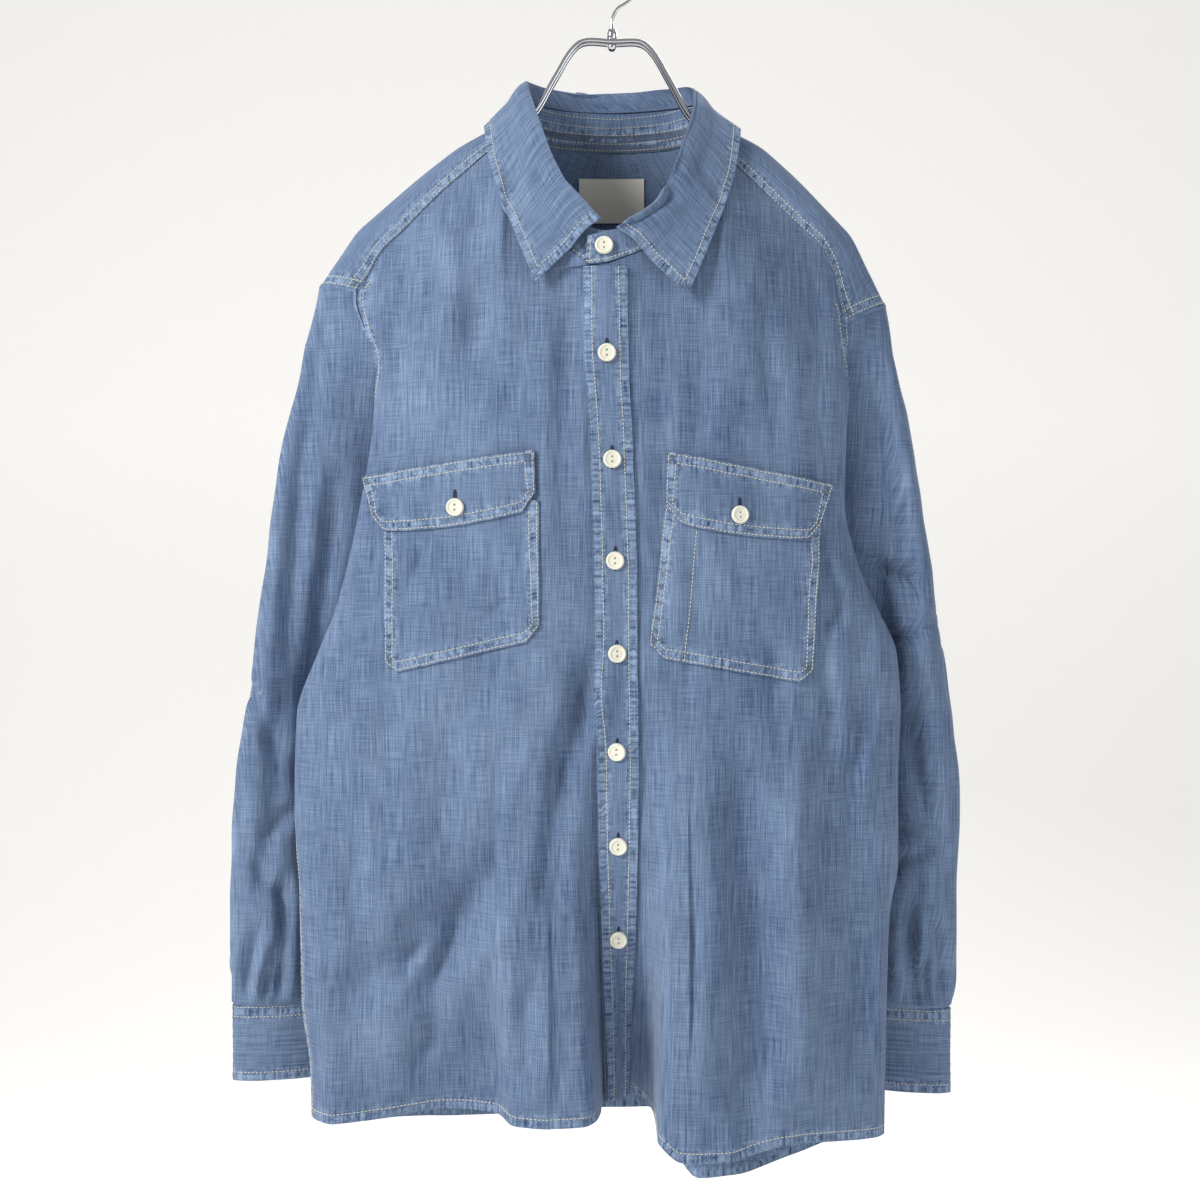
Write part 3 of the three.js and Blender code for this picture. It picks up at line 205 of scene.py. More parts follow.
SLEEVE_FOLDS = table(FOLD_COLUMNS, [
    (-234, 300, -262, 560, 9, 3), (-250, 330, -284, 640, 8, -2.5), (-222, 420, -246, 640, 8, 3),
    (-262, 600, -282, 760, 9, 3.5), (-262, 745, -269, 845, 5, 5.5), (-284, 780, -298, 850, 6, 4),
    (-246, 770, -244, 845, 5, 4), (-292, 590, -270, 640, 7, 3), (-250, 690, -284, 712, 6, 2.4),
    (-290, 730, -262, 762, 6, 2.4), (-252, 640, -240, 700, 6, 3), (-272, 800, -280, 848, 4, 3.5),
    (208, 320, 236, 560, 9, 3), (222, 340, 256, 620, 8, -2.5), (214, 440, 222, 640, 8, 3),
    (196, 492, 250, 512, 7, 3), (206, 560, 262, 540, 7, 2.6), (232, 600, 262, 740, 9, 3.5),
    (222, 700, 262, 730, 6, 2.6), (210, 745, 250, 722, 6, 2.4), (238, 765, 244, 848, 5, 5),
    (260, 780, 266, 848, 6, 4), (220, 780, 218, 848, 5, 4), (250, 804, 255, 849, 4, 3.5),
])
LEAF_FOLDS = table(FOLD_COLUMNS, [
    (8, 238, 54, 206, 6, 2), (-64, 190, -38, 206, 6, 1.6), (70, 180, 84, 215, 7, 1.2),
    (-84, 178, -70, 222, 7, 1.2),
])

# The yoke from neck to outer end, round the back from one front seam to the other
YOKE = table("turn neck_x neck_drop neck_y end_x end_drop end_y swell", [
    (0, -86, 157, -14, -203, 277, -20, 9), (0.06, -87, 142.5, -6, -224, 272, -13, 15),
    (0.12, -85, 139.5, 5, -234, 270, 0, 18), (0.18, -78, 144, 18, -224, 269, 15, 14),
    (0.25, -66, 149, 30, -204, 268, 24, 4), (0.35, -40, 152, 43, -120, 261, 38, 0),
    (0.5, 0, 153, 48, 0, 256, 44, 0), (0.65, 40, 152, 43, 118, 263, 38, 0),
    (0.75, 66, 149, 30, 200, 275, 24, 6), (0.82, 79, 146, 18, 210, 281, 15, 19),
    (0.88, 85, 143, 5, 219, 285, 0, 27), (0.94, 87, 147, -6, 207, 291, -13, 22),
    (1, 86, 166, -14, 185, 302, -24, 12),
])
SWELL_ALONG = table("along rise", [
    (0, 0), (0.14, 0.5), (0.3, 0.86), (0.55, 1), (0.78, 1), (0.9, 0.5), (1, 0),
])

# Sleeve sections: outer end, inner end and half the depth between them
SLEEVE_COLUMNS = "step out_x out_drop out_y in_x in_drop in_y half"
LEFT_SLEEVE = table(SLEEVE_COLUMNS, [
    (1, -246, 318, 0, -229, 577, 18, 23), (2, -262, 405, 0, -230, 605, 29, 26),
    (3, -277, 485, 2, -231, 645, 34, 27), (4, -290, 580, 4, -234, 702, 36, 29),
    (5, -303, 668, 6, -236, 762, 36, 31), (6, -309, 768, 8, -228, 820, 36, 28),
    (7, -308, 847.5, 10, -217, 849, 38, 18),
])
RIGHT_SLEEVE = table(SLEEVE_COLUMNS, [
    (1, 226, 330, 0, 214, 575, 18, 23), (2, 242, 405, 0, 212, 605, 29, 26),
    (3, 254, 482, 2, 210, 645, 34, 27), (4, 270, 587, 4, 207, 702, 36, 29),
    (5, 279, 680, 6, 203, 762, 36, 31), (6, 279, 768, 8, 197, 822, 36, 28),
    (7, 275, 849.5, 10, 190, 852, 38, 18),
])
LEFT_CUFF = dict(out_x=-308, out_y=10, in_x=-217, in_y=38, top=850, bottom=911, half=15)
RIGHT_CUFF = dict(out_x=275, out_y=10, in_x=190, in_y=38, top=853, bottom=921, half=15)

# The collar's stand from base to top and its leaf from fold to rim, both round the neck
STAND_ROWS = [
    (12, -75.5, 262, 10, -72, 238), (-6, -77, 267, -6, -73.5, 241),
    (-23, -75.5, 263, -21, -70, 236), (-44, -67, 242, -38, -60, 214),
    (-66, -49, 204, -55, -41, 174), (-83, -22, 165, -64, -22, 146),
    (-87, -6, 141.5, -70, -7, 128), (-84.5, 6, 138.5, -71, 9, 119),
    (-66, 30, 148, -61, 33, 117), (-40, 43, 151, -37, 46, 118), (0, 48, 152, 0, 54, 118),
    (40, 43, 151, 37, 46, 118), (66, 30, 148, 60, 32, 119), (84.5, 6, 142, 70, 8, 123),
    (87, -6, 146, 71, -8, 136), (83, -24, 173, 66, -24, 152), (66, -51, 209, 56, -42, 178),
    (46, -66, 237, 41, -60, 211), (24, -75.5, 255, 23, -71, 231), (8, -80, 262, 6, -77, 240),
    (-6, -81.5, 266.5, -6, -78.5, 243), (-21, -80.5, 268, -19, -77, 246),
]
LEAF_ROWS = [
    (-9, -78, 233, -59, -80, 281), (-23, -73, 216, -67, -76, 262), (-39, -62, 196, -76, -68, 239),
    (-54, -42, 157, -88, -50, 208), (-62, -24, 131, -98, -27, 172), (-68, -4, 110, -103, -6, 143),
    (-69, 13, 102, -104, 12, 141), (-60, 34, 100, -88, 43, 146), (-36, 49, 100, -50, 63, 150),
    (0, 58, 99, 0, 70, 151), (36, 48, 99, 50, 63, 151), (58, 32, 101, 88, 42, 148),
    (65, 12, 108, 103, 11, 143), (65, -6, 121, 103, -9, 146), (62, -25, 139, 98, -29, 180),
    (55, -43, 164, 88, -50, 214), (40, -63, 206, 77, -67, 243), (27, -74, 222, 68, -76, 266),
    (3, -82, 240, 57, -82, 291),
]


def stepped(columns, rows):
    """A table whose key, step, runs evenly from 0 to 1."""
    steps = np.linspace(0, 1, len(rows))
    return table("step " + columns, [(s, *row) for s, row in zip(steps, rows)])


STAND_COLUMNS = "base_x base_y base_drop top_x top_y top_drop"
STAND = stepped(STAND_COLUMNS, STAND_ROWS)
STAND_UNDER_LEAF = stepped(STAND_COLUMNS, STAND_ROWS[2:-2])
LEAF = stepped("fold_x fold_y fold_drop rim_x rim_y rim_drop", LEAF_ROWS)

# Laid pieces: four corners from the upper left clockwise, cut corners and a bellied lower edge
POCKETS = {
    "right_pocket": dict(x=(-177, -56, -56, -176), drop=(443, 447, 553, 581), corner=10, belly=0),
    "left_pocket": dict(x=(43, 163, 153, 28), drop=(429, 450, 588, 566), corner=10, belly=0),
}
FLAPS = {
    "right_flap": dict(x=(-194, -59, -58, -186), drop=(427, 408, 453, 470), corner=12, belly=5),
    "left_flap": dict(x=(42, 171, 160, 41), drop=(410, 433, 476, 462), corner=12, belly=5),
}


def lerp(a, b, t):
    """Straight from a to b as t runs from 0 to 1."""
    return a + (b - a) * t


def smooth(start, end, at):
    """Runs from 0 to 1 between two places, level at both: 3t^2 - 2t^3."""
    t = np.clip((np.asarray(at, float) - start) / (end - start), 0, 1)
    return t * t * (3 - 2 * t)


def read(rows, column, at):
    """A column at a key: a cubic between rows, its slopes the harmonic means, so it never overshoots."""
    keys = next(iter(rows.values()))
    values = rows[column]
    at = np.clip(np.asarray(at, float), keys[0], keys[-1])
    slopes = np.diff(values) / np.diff(keys)
    product = slopes[:-1] * slopes[1:]
    total = slopes[:-1] + slopes[1:]
    inner = np.where(product > 0, 2 * product / np.where(total == 0, 1, total), 0)
    tangents = np.concatenate([slopes[:1], inner, slopes[-1:]])
    i = np.clip(np.searchsorted(keys, at, side="right") - 1, 0, len(keys) - 2)
    width = keys[i + 1] - keys[i]
    t = (at - keys[i]) / width
    start = (1 + 2 * t) * (1 - t) ** 2 * values[i]
    end = t * t * (3 - 2 * t) * values[i + 1]
    return start + end + width * t * (1 - t) * ((1 - t) * tangents[i] - t * tangents[i + 1])


def stack(x, y, drop):
    """Points from arrays of x, y and drop; z is minus the drop."""
    x, y, drop = np.broadcast_arrays(x, y, drop)
    return np.stack([x, y, -drop], axis=-1)


def place(rows, name, at):
    """The point that a table gives at a key, from its columns name_x, name_y and name_drop."""
    return stack(*(read(rows, f"{name}_{axis}", at) for axis in ("x", "y", "drop")))


def unit(v):
    return v / np.maximum(np.linalg.norm(v, axis=-1, keepdims=True), 1e-9)


# The form of the cloth
def across_at(x, drop):
    """Where a place lies between the outline edges, from -1 to 1."""
    left = read(LEFT_SIDE, "edge_x", drop)
    right = read(RIGHT_SIDE, "edge_x", drop)
    return np.clip((2 * x - left - right) / (right - left), -1, 1)


def fold_sink(folds, x, drop):
    """The sum of soft folds: each a bell across its line with a ridge beside it, fading at both ends."""
    total = np.zeros(np.broadcast(x, drop).shape)
    for top_x, top_drop, low_x, low_drop, half, sink in zip(*folds.values()):
        run_x, run_drop = low_x - top_x, low_drop - top_drop
        length = math.hypot(run_x, run_drop)
        along = ((x - top_x) * run_x + (drop - top_drop) * run_drop) / length ** 2
        aside = ((x - top_x) * run_drop - (drop - top_drop) * run_x) / length / half
        aside = aside + 0.3 * np.sin(along * 5 + top_x)
        fade = smooth(-0.15, 0.25, along) * smooth(1.15, 0.75, along)
        bell = np.exp(-aside ** 2) - 0.3 * np.exp(-((aside - 1.9) ** 2))
        total += sink * bell * fade * (1 + 0.2 * np.sin(along * 7 + low_x))
    return total * FOLD_DEPTH


# Slow waves of hung cloth: length across, length down, size
WAVES = ((95, 300, 1.1), (58, 240, 0.8), (37, 130, 0.5), (24, 90, 0.3), (70, 60, 0.35))


def unevenness(x, drop, seed):
    """The waviness of hung cloth: slanted sine waves, long down the cloth and short across it."""
    rng = np.random.default_rng(seed)
    total = 0
    for across, down, size in WAVES:
        lean, start, swing = rng.uniform(-1, 1), rng.uniform(0, 7), rng.uniform(0, 7)
        slant = np.sin(x * 6.28 / across + lean * drop * 6.28 / down + start)
        total = total + size * slant * np.sin(drop * 6.28 / down + swing)
    return total


def between_levels(rows, upper_drop, lower_drop, x, drop):
    """The depth from a table of three levels: from upper to lower, and below the waist to the hem."""
    across = across_at(x, drop)
    upper, lower, hem = (read(rows, c, across) for c in ("upper", "lower", "hem"))
    lower = lerp(lower, hem, smooth(WAIST_DROP, HEM_DROP + 20, drop))
    return lerp(upper, lower, smooth(upper_drop, lower_drop, drop))


def front_depth(x, drop):
    """The depth of the fronts: falling forward from the top edge to the table's depth, with folds."""
    full = between_levels(FRONT_DEPTH, CHEST_DROP, WAIST_DROP, x, drop)
    fallen = np.clip((drop - read(TOP_EDGE, "drop", x)) / FALL, 0, 1)
    folds = (fold_sink(FRONT_FOLDS, x, drop) + unevenness(x, drop, 3)) * smooth(0, 0.4, fallen)
    return lerp(read(TOP_EDGE, "y", x), full, 1 - (1 - fallen) ** 2) + folds


def centre_at(drop):
    return read(CENTRE_LINE, "x", drop)


def front_point(x, drop):
    """A point of the fronts; near the placket the centre fold carries it back and to the side."""
    y = front_depth(x, drop)
    off = x - centre_at(drop)
    folded = (drop > FOLD_SHARE["drop"][0]) & (np.abs(off) < CENTRE_HALF)
    share = np.where(folded, read(FOLD_SHARE, "share", drop), 0)
    new_x = lerp(x, read(CENTRE_FOLD, "x", off), share)
    new_y = lerp(y, read(CENTRE_FOLD, "y", off), share)
    low = smooth(HEM_DROP - HEM_REACH, HEM_DROP, drop)
    hung = drop + low * (read(FRONT_HEM, "drop", new_x) - HEM_DROP)
    return stack(new_x, new_y, hung)


def facing(point, a, b, step_a=0.8, step_b=0.8):
    """The normal of a surface function of a and b, from its differences."""
    along_a = point(a + step_a, b) - point(a - step_a, b)
    along_b = point(a, b - step_b) - point(a, b + step_b)
    return unit(np.cross(along_a, along_b))


def on_front(x, drop, lift=0.0):
    """A point a lift off the front along its normal."""
    x, drop = np.broadcast_arrays(np.asarray(x, float), np.asarray(drop, float))
    return front_point(x, drop) + facing(front_point, x, drop) * np.asarray(lift)[..., None]


def back_depth(x, drop):
    """The depth of the back: flat over the shoulder blades, round below the armholes."""
    return between_levels(BACK_DEPTH, BLADE_DROP, LOIN_DROP, x, drop)


BACK_SEAM = table("x drop", list(zip(YOKE["end_x"][4:9], YOKE["end_drop"][4:9])))


def back_point(t, level):
    """A point of the back: t runs from seam to seam, and a pull that fades exponentially meets each."""
    left_x, right_x = (read(side, "back_x", level) for side in (LEFT_SIDE, RIGHT_SIDE))
    x = lerp(right_x, left_x, t)
    left_off = read(LEFT_SIDE, "back_y", level) + SEAM_ROOM - back_depth(left_x, level)
    right_off = read(RIGHT_SIDE, "back_y", level) + SEAM_ROOM - back_depth(right_x, level)
    pull = left_off * np.exp((left_x - x) / SIDE_PULL) + right_off * np.exp((x - right_x) / SIDE_PULL)
    low = smooth(HEM_DROP - HEM_REACH, HEM_DROP, level) * (read(BACK_HEM, "drop", x) - HEM_DROP)
    high = smooth(BACK_TOP + 100, BACK_TOP, level) * (read(BACK_SEAM, "drop", x) - BACK_TOP)
    return stack(x, back_depth(x, level) + pull, level + low + high)


def seam_point(rows, along):
    """A point of a yoke seam whose rows are evenly apart."""
    seam = stepped("x drop y", rows)
    return stack(read(seam, "x", along), read(seam, "y", along), read(seam, "drop", along))


def yoke_form(turn, along):
    """Straight from the neck line to the end line, and swollen upwards between them."""
    point = lerp(place(YOKE, "neck", turn), place(YOKE, "end", turn), along[..., None])
    point[..., 2] += read(YOKE, "swell", turn) * read(SWELL_ALONG, "rise", along)
    return point


def yoke_point(turn, along):
    """The yoke over the shoulder: its form, drawn onto the two front seams near its ends."""
    turn, along = np.broadcast_arrays(np.asarray(turn, float), np.asarray(along, float))
    left = smooth(0.12, 0, turn)[..., None]
    right = smooth(0.88, 1, turn)[..., None]
    to_left = seam_point(LEFT_YOKE_SEAM, 1 - along) - yoke_form(0, along)
    to_right = seam_point(RIGHT_YOKE_SEAM, along) - yoke_form(1, along)
    return yoke_form(turn, along) + left * to_left + right * to_right


SPAN_POINTS = 12


def curve(points, count, closed=True):
    """A centripetal Catmull-Rom curve, resampled evenly by length; row i is at i/count."""
    p = np.asarray(points, float)
    if not closed:
        p = np.vstack([p, 2 * p[-1] - p[-2], 2 * p[0] - p[1]])
    t = np.linspace(0, 1, SPAN_POINTS, endpoint=False)[:, None, None]
    a, b, c, d = (np.roll(p, s, axis=0)[None] for s in (1, 0, -1, -2))
    pairs = ((a, b), (b, c), (c, d))
    ab, bc, cd = (np.sqrt(np.linalg.norm(v - u, axis=-1, keepdims=True)) for u, v in pairs)
    leave = bc * ((b - a) / ab - (c - a) / (ab + bc) + (c - b) / bc)
    meet = bc * ((c - b) / bc - (d - b) / (bc + cd) + (d - c) / cd)
    spans = b + leave * t + (3 * (c - b) - 2 * leave - meet) * t ** 2
    spans = spans + (2 * (b - c) + leave + meet) * t ** 3
    line = spans.transpose(1, 0, 2).reshape(-1, 3)
    line = np.vstack([line, line[:1]]) if closed else line[:1 - 3 * SPAN_POINTS]
    reach = np.concatenate([[0], np.cumsum(np.linalg.norm(np.diff(line, axis=0), axis=1))])
    goals = np.linspace(0, reach[-1], count + 1)
    return np.stack([np.interp(goals, reach, line[:, k]) for k in range(3)], axis=-1)


def armhole(side, turns, sign):
    """The armhole's closed line, from the shoulder's end down the front seam and up the back seam."""
    over = yoke_point(turns, 1) + np.array([sign * 1.2, 0, -0.8])
    drops = np.array(ARMHOLE_DROPS, float)
    front = stack(read(side, "seam_x", drops) + sign * 1.5, read(side, "seam_y", drops) + 1.1, drops)
    pit = [[read(side, "back_x", PIT_DROP) + sign * 1.1, 9, -PIT_DROP]]
    rear = np.concatenate([[290], drops])[::-1]
    back = stack(read(side, "back_x", rear) + sign * 2.2, read(side, "back_y", rear) + SEAM_ROOM, rear)
    start = len(over) // 2
    return curve(np.vstack([over[start:], front, pit, back, over[:start]]), 400)


def sleeve_oval(rows, step, turn):
    """A sleeve section: an oval from its outer end over the front to its inner end and back."""
    step = np.maximum(step, 1)
    out, inside = place(rows, "out", step), place(rows, "in", step)
    angle = (turn * 2 * np.pi)[..., None]
    middle, half = (out + inside) / 2, (out - inside) / 2
    depth = np.stack([0 * turn, -read(rows, "half", step), 0 * turn], axis=-1)
    return middle + half * np.cos(angle) + depth * np.sin(angle)


def sleeve_point(rows, hole, step, turn):
    """The sleeve's surface: the armhole's line turning into the ovals over its first step."""
    step, turn = np.broadcast_arrays(np.asarray(step, float), np.asarray(turn, float))
    oval = sleeve_oval(rows, step, turn)
    place = (turn % 1) * (len(hole) - 1)
    ring = np.stack([np.interp(place, np.arange(len(hole)), hole[:, k]) for k in range(3)], axis=-1)
    blend = np.clip(smooth(0, 1, step) * 0.5 + step * 0.5, 0, 1)[..., None]
    return lerp(ring, oval, blend)


def cuff_point(cuff, t, drop):
    """The cuff's band: CUFF_TURNS times round, a spiral of ovals that lies over its own start."""
    t, drop = np.broadcast_arrays(np.asarray(t, float), np.asarray(drop, float))
    angle = (t * CUFF_TURNS - CUFF_START) * 2 * np.pi
    wide = (1 + (t - 0.5) * 0.09) * np.cos(angle)
    deep = (1 + (t - 0.5) * 0.23) * np.sin(angle)
    x = (cuff["out_x"] + cuff["in_x"]) / 2 + (cuff["out_x"] - cuff["in_x"]) / 2 * wide
    y = (cuff["out_y"] + cuff["in_y"]) / 2 + (cuff["out_y"] - cuff["in_y"]) / 2 * wide
    return stack(x, y - cuff["half"] * deep, drop)


def stand_point(step, up):
    """The stand: straight from its base line to its top line."""
    return lerp(place(STAND, "base", step), place(STAND, "top", step), up[..., None])


def leaf_point(step, down):
    """The leaf: from 0 to 1 it falls from fold to rim, and below 0 it runs back to the stand's top."""
    fall = np.clip(down, 0, 1)
    point = lerp(place(LEAF, "fold", step), place(LEAF, "rim", step), fall[..., None])
    point[..., 2] += 3 * np.sin(np.pi * np.minimum(fall * 2.2, 1))
    x, y, drop = point[..., 0], point[..., 1], -point[..., 2]
    clear = np.where(drop > read(TOP_EDGE, "drop", x) - 4, front_depth(x, drop) - 4.5, y)
    point[..., 1] = np.where(y < 0, np.minimum(y, clear), y)
    root = place(STAND_UNDER_LEAF, "top", step)
    root[..., 2] += 1.9
    return lerp(point, root, np.clip(-down, 0, 1)[..., None])


# Meshes
def link_object(name, data):
    thing = bpy.data.objects.new(name, data)
    bpy.context.collection.objects.link(thing)
    return thing


def mesh_object(name, verts, faces, uv=None, marks=None):
    """A mesh from whole arrays, millimetres to metres; faces is an array of quads or triangles."""
    mesh = bpy.data.meshes.new(name)
    sides = faces.shape[1]
    mesh.vertices.add(len(verts))
    mesh.vertices.foreach_set("co", (verts * 0.001).astype(np.float32).ravel())
    mesh.loops.add(faces.size)
    mesh.loops.foreach_set("vertex_index", faces.astype(np.int32).ravel())
    mesh.polygons.add(len(faces))
    mesh.polygons.foreach_set("loop_start", np.arange(0, faces.size, sides, dtype=np.int32))
    mesh.polygons.foreach_set("use_smooth", np.ones(len(faces), dtype=bool))
    if uv is not None:
        layer = mesh.uv_layers.new(name="cloth")
        layer.data.foreach_set("uv", (uv[faces.ravel()] * 0.001).astype(np.float32).ravel())
    mesh.update(calc_edges=True)
    for mark, values in (marks or {}).items():
        attribute = mesh.attributes.new(mark, "FLOAT", "POINT")
        attribute.data.foreach_set("value", values.astype(np.float32).ravel())
    mesh.set_sharp_from_angle(angle=math.radians(55))
    return link_object(name, mesh)


def grid_faces(rows, columns, start=0, closed=False):
    """Quads over a grid, wound so that across by up points out."""
    spans = columns if closed else columns - 1
    j, i = np.meshgrid(np.arange(rows - 1), np.arange(spans), indexing="ij")
    here = start + j * columns + i
    beside = start + j * columns + (i + 1) % columns
    return np.stack([here, beside, beside + columns, here + columns], axis=-1).reshape(-1, 4)


def grid_normals(grid, closed=False):
    """The normals of a grid: its change across crossed with its change up."""
    if closed:
        across = np.roll(grid, -1, axis=1) - np.roll(grid, 1, axis=1)
    else:
        across = np.gradient(grid, axis=1)
    return unit(np.cross(across, np.gradient(grid, axis=0)))


def creased(grid, folds, seed, closed=False, size=1.0):
    """A grid pressed in along its normals by folds and by the slow unevenness of cloth."""
    x, drop = grid[..., 0], -grid[..., 2]
    depth = fold_sink(folds, x, drop) + size * unevenness(x, drop, seed)
    return grid - grid_normals(grid, closed) * depth[..., None]


# Turns a grid so that the named edge is its first column
EDGE_FIRST = {
    "left": lambda grid: grid,
    "right": lambda grid: grid[:, ::-1],
    "bottom": lambda grid: grid.transpose(1, 0, 2),
    "top": lambda grid: grid[::-1].transpose(1, 0, 2),
}


def lapped(grid, edge, reach, lift):
    """A grid with one more line past its left, right or bottom edge, to lap over its neighbour."""
    turned = EDGE_FIRST[edge]
    normals = turned(grid_normals(grid))
    grid = turned(grid)
    line = grid[:, 0]
    extra = line + unit(line - grid[:, 1]) * reach + normals[:, 0] * lift
    return turned(np.concatenate([extra[:, None], grid], axis=1))


def inset(points, normals, distance):
    """The line that crosses a grid's rows a distance in from their first points, with its normals."""
    steps = np.linalg.norm(np.diff(points, axis=1), axis=-1)
    reach = np.concatenate([np.zeros((len(points), 1)), np.cumsum(steps, axis=1)], axis=1)
    share = np.array([np.interp(distance, row, np.arange(len(row))) for row in reach])
    low = np.clip(share.astype(int), 0, points.shape[1] - 2)
    t = (share - low)[:, None]
    row = np.arange(len(points))
    line, out = (lerp(part[row, low], part[row, low + 1], t) for part in (points, normals))
    return line, unit(out)


def line_length(line):
    return np.concatenate([[0], np.cumsum(np.linalg.norm(np.diff(line, axis=0), axis=1))])


def read_line(line, out, lengths):
    """A line and its normals at lengths along it."""
    both = np.concatenate([line, out], axis=1)
    reach = line_length(line)
    at = np.stack([np.interp(lengths, reach, column) for column in both.T], axis=-1)
    return at[:, :3], at[:, 3:]


def cut_ends(line, out, start, end):
    """A line without a length at its start and at its end."""
    lengths = np.linspace(start, line_length(line)[-1] - end, len(line))
    kept, kept_out = read_line(line, out, lengths)
    return kept, unit(kept_out)


# The sewn lines of each node, and the rows of stitches of each group
SEAMS = {}
ROWS = {}


def sew(node, grid, edge, distances, span=(0, 1), trim=(0, 0), inside=0.0, group="body", closed=False):
    """Rows of stitches at distances in from an edge, from share to share of its length. A row is
    shortened by trim times its distance, and inside puts it on a wall of that thickness from
    within. The cloth puckers on the line midway between the rows, or half a lone row's distance in."""
    normals = grid_normals(grid, closed)
    points = EDGE_FIRST[edge](grid - normals * inside)
    normals = EDGE_FIRST[edge](-normals if inside else normals)
    first, last = int(span[0] * (len(points) - 1)), int(round(span[1] * (len(points) - 1))) + 1
    points, normals = points[first:last], normals[first:last]
    for distance in distances:
        line, out = inset(points, normals, distance)
        ROWS.setdefault(group, []).append(cut_ends(line, out, trim[0] * distance, trim[1] * distance))
    middle = sum(distances) / len(distances) if len(distances) > 1 else distances[0] / 2
    SEAMS.setdefault(node, []).append(inset(points, normals, middle)[0])


# A stitch's rings: place along it, share of the thread's radius, lift
STITCH_RINGS = ((0.14, 0.75, 0.1), (0.5, 1.0, 0.24), (0.86, 0.75, 0.1))
STITCH_DIP = 0.2


def stitch_ends(line, out):
    """Where a row's stitches start and end, evenly spaced along it, and which way is out."""
    length = line_length(line)[-1]
    count = max(int(length / STITCH_STEP), 1)
    middles = (np.arange(count) + 0.5) * length / count
    a, out_a = read_line(line, out, middles - STITCH_LENGTH / 2)
    b, out_b = read_line(line, out, middles + STITCH_LENGTH / 2)
    return a, b, unit(out_a + out_b)


def spindle_faces():
    """A closed spindle: a fan, the bands between its rings and a fan, over points tip, rings, tip."""
    rings, sides = len(STITCH_RINGS), STITCH_SIDES
    i = np.arange(sides)
    j = (i + 1) % sides
    fans = [np.stack([0 * i, 1 + i, 1 + j], axis=-1)]
    for ring in range(rings - 1):
        base = 1 + ring * sides
        fans.append(np.stack([base + i, base + sides + i, base + sides + j], axis=-1))
        fans.append(np.stack([base + i, base + sides + j, base + j], axis=-1))
    base = 1 + (rings - 1) * sides
    fans.append(np.stack([base + sides + 0 * i, base + j, base + i], axis=-1))
    return np.concatenate(fans)


def stitch_mesh(name, rows):
    """Each stitch is a small closed spindle of thread: three rings and two tips that dip in."""
    a, b, out = (np.concatenate(part) for part in zip(*(stitch_ends(*row) for row in rows)))
    side = unit(np.cross(b - a, out))
    angle = np.arange(STITCH_SIDES) * 2 * np.pi / STITCH_SIDES
    spoke = side[:, None] * np.cos(angle)[:, None] + out[:, None] * np.sin(angle)[:, None]
    rings = []
    for share, radius, lift in STITCH_RINGS:
        centre = lerp(a, b, share) + out * lift
        rings.append(centre[:, None] + spoke * THREAD_RADIUS * radius)
    tips = [(tip - out * STITCH_DIP)[:, None] for tip in (a, b)]
    verts = np.concatenate([tips[0], *rings, tips[1]], axis=1)
    starts = verts.shape[1] * np.arange(len(a))
    faces = (spindle_faces()[None] + starts[:, None, None]).reshape(-1, 3)
    return mesh_object(name, verts.reshape(-1, 3), faces)


def seam_marks(verts, lines):
    """Per vertex: nearness to the closest sewn line, 1 on it to 0 at PUCKER_REACH, and the length
    along that line, shifted from line to line."""
    if not len(lines):
        return {"seam_near": np.zeros(len(verts)), "seam_along": np.zeros(len(verts))}
    even = [cut_ends(line, line, 0, 0)[0] for line in lines]
    points = np.concatenate(even)
    reach = np.concatenate([line_length(line) + 317 * k for k, line in enumerate(even)])
    best, along = np.zeros(len(verts)), np.zeros(len(verts))
    for start in range(0, len(verts), 4000):
        block = slice(start, start + 4000)
        gap = ((verts[block][:, None, :] - points[None]) ** 2).sum(axis=-1)
        pick = gap.argmin(axis=1)
        best[block] = np.sqrt(gap.min(axis=1))
        along[block] = reach[pick]
    return {"seam_near": np.clip(1 - best / PUCKER_REACH, 0, 1), "seam_along": along * 0.001}


def wall(name, grid, thickness, uv, closed=False, lines=()):
    """A cloth wall: the grid outside, the same grid moved in by its thickness, and strips round it."""
    rows, columns = grid.shape[:2]
    inner = grid - grid_normals(grid, closed) * thickness
    verts = np.concatenate([grid.reshape(-1, 3), inner.reshape(-1, 3)])
    count = rows * columns
    index = np.arange(count).reshape(rows, columns)
    rims = [index[0, ::-1], index[-1]]
    if closed:
        rims = [np.append(rim, rim[0]) for rim in rims]
    else:
        rims += [index[:, 0], index[::-1, -1]]
    faces = grid_faces(rows, columns, closed=closed)
    faces = [faces, faces[:, ::-1] + count]
    for rim in rims:
        a, b = rim[:-1], rim[1:]
        faces.append(np.stack([a, b, b + count, a + count], axis=-1))
    flat = np.concatenate([uv.reshape(-1, 2)] * 2)
    return mesh_object(name, verts, np.concatenate(faces), flat, seam_marks(verts, lines))


def laid_flat(a, b):
    """Texture places from two arrays that broadcast over a grid."""
    return np.stack(np.broadcast_arrays(a, b), axis=-1)


def finish(piece, material, node=None):
    """A piece on the root body with its material and slot, in place of a solid where it has one."""
    piece.data.materials.append(material)
    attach(piece, "root")
    if node:
        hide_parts(node)


# Materials
def node_group(name, inputs, outputs):
    """An empty shader group with named sockets; returns the tree, its input node and its output node."""
    tree = bpy.data.node_groups.new(name, "ShaderNodeTree")
    kinds = {"F": "NodeSocketFloat", "C": "NodeSocketColor", "V": "NodeSocketVector"}
    for label, kind in inputs:
        tree.interface.new_socket(label, in_out="INPUT", socket_type=kinds[kind])
    for label, kind in outputs:
        tree.interface.new_socket(label, in_out="OUTPUT", socket_type=kinds[kind])
    return tree, tree.nodes.new("NodeGroupInput"), tree.nodes.new("NodeGroupOutput")


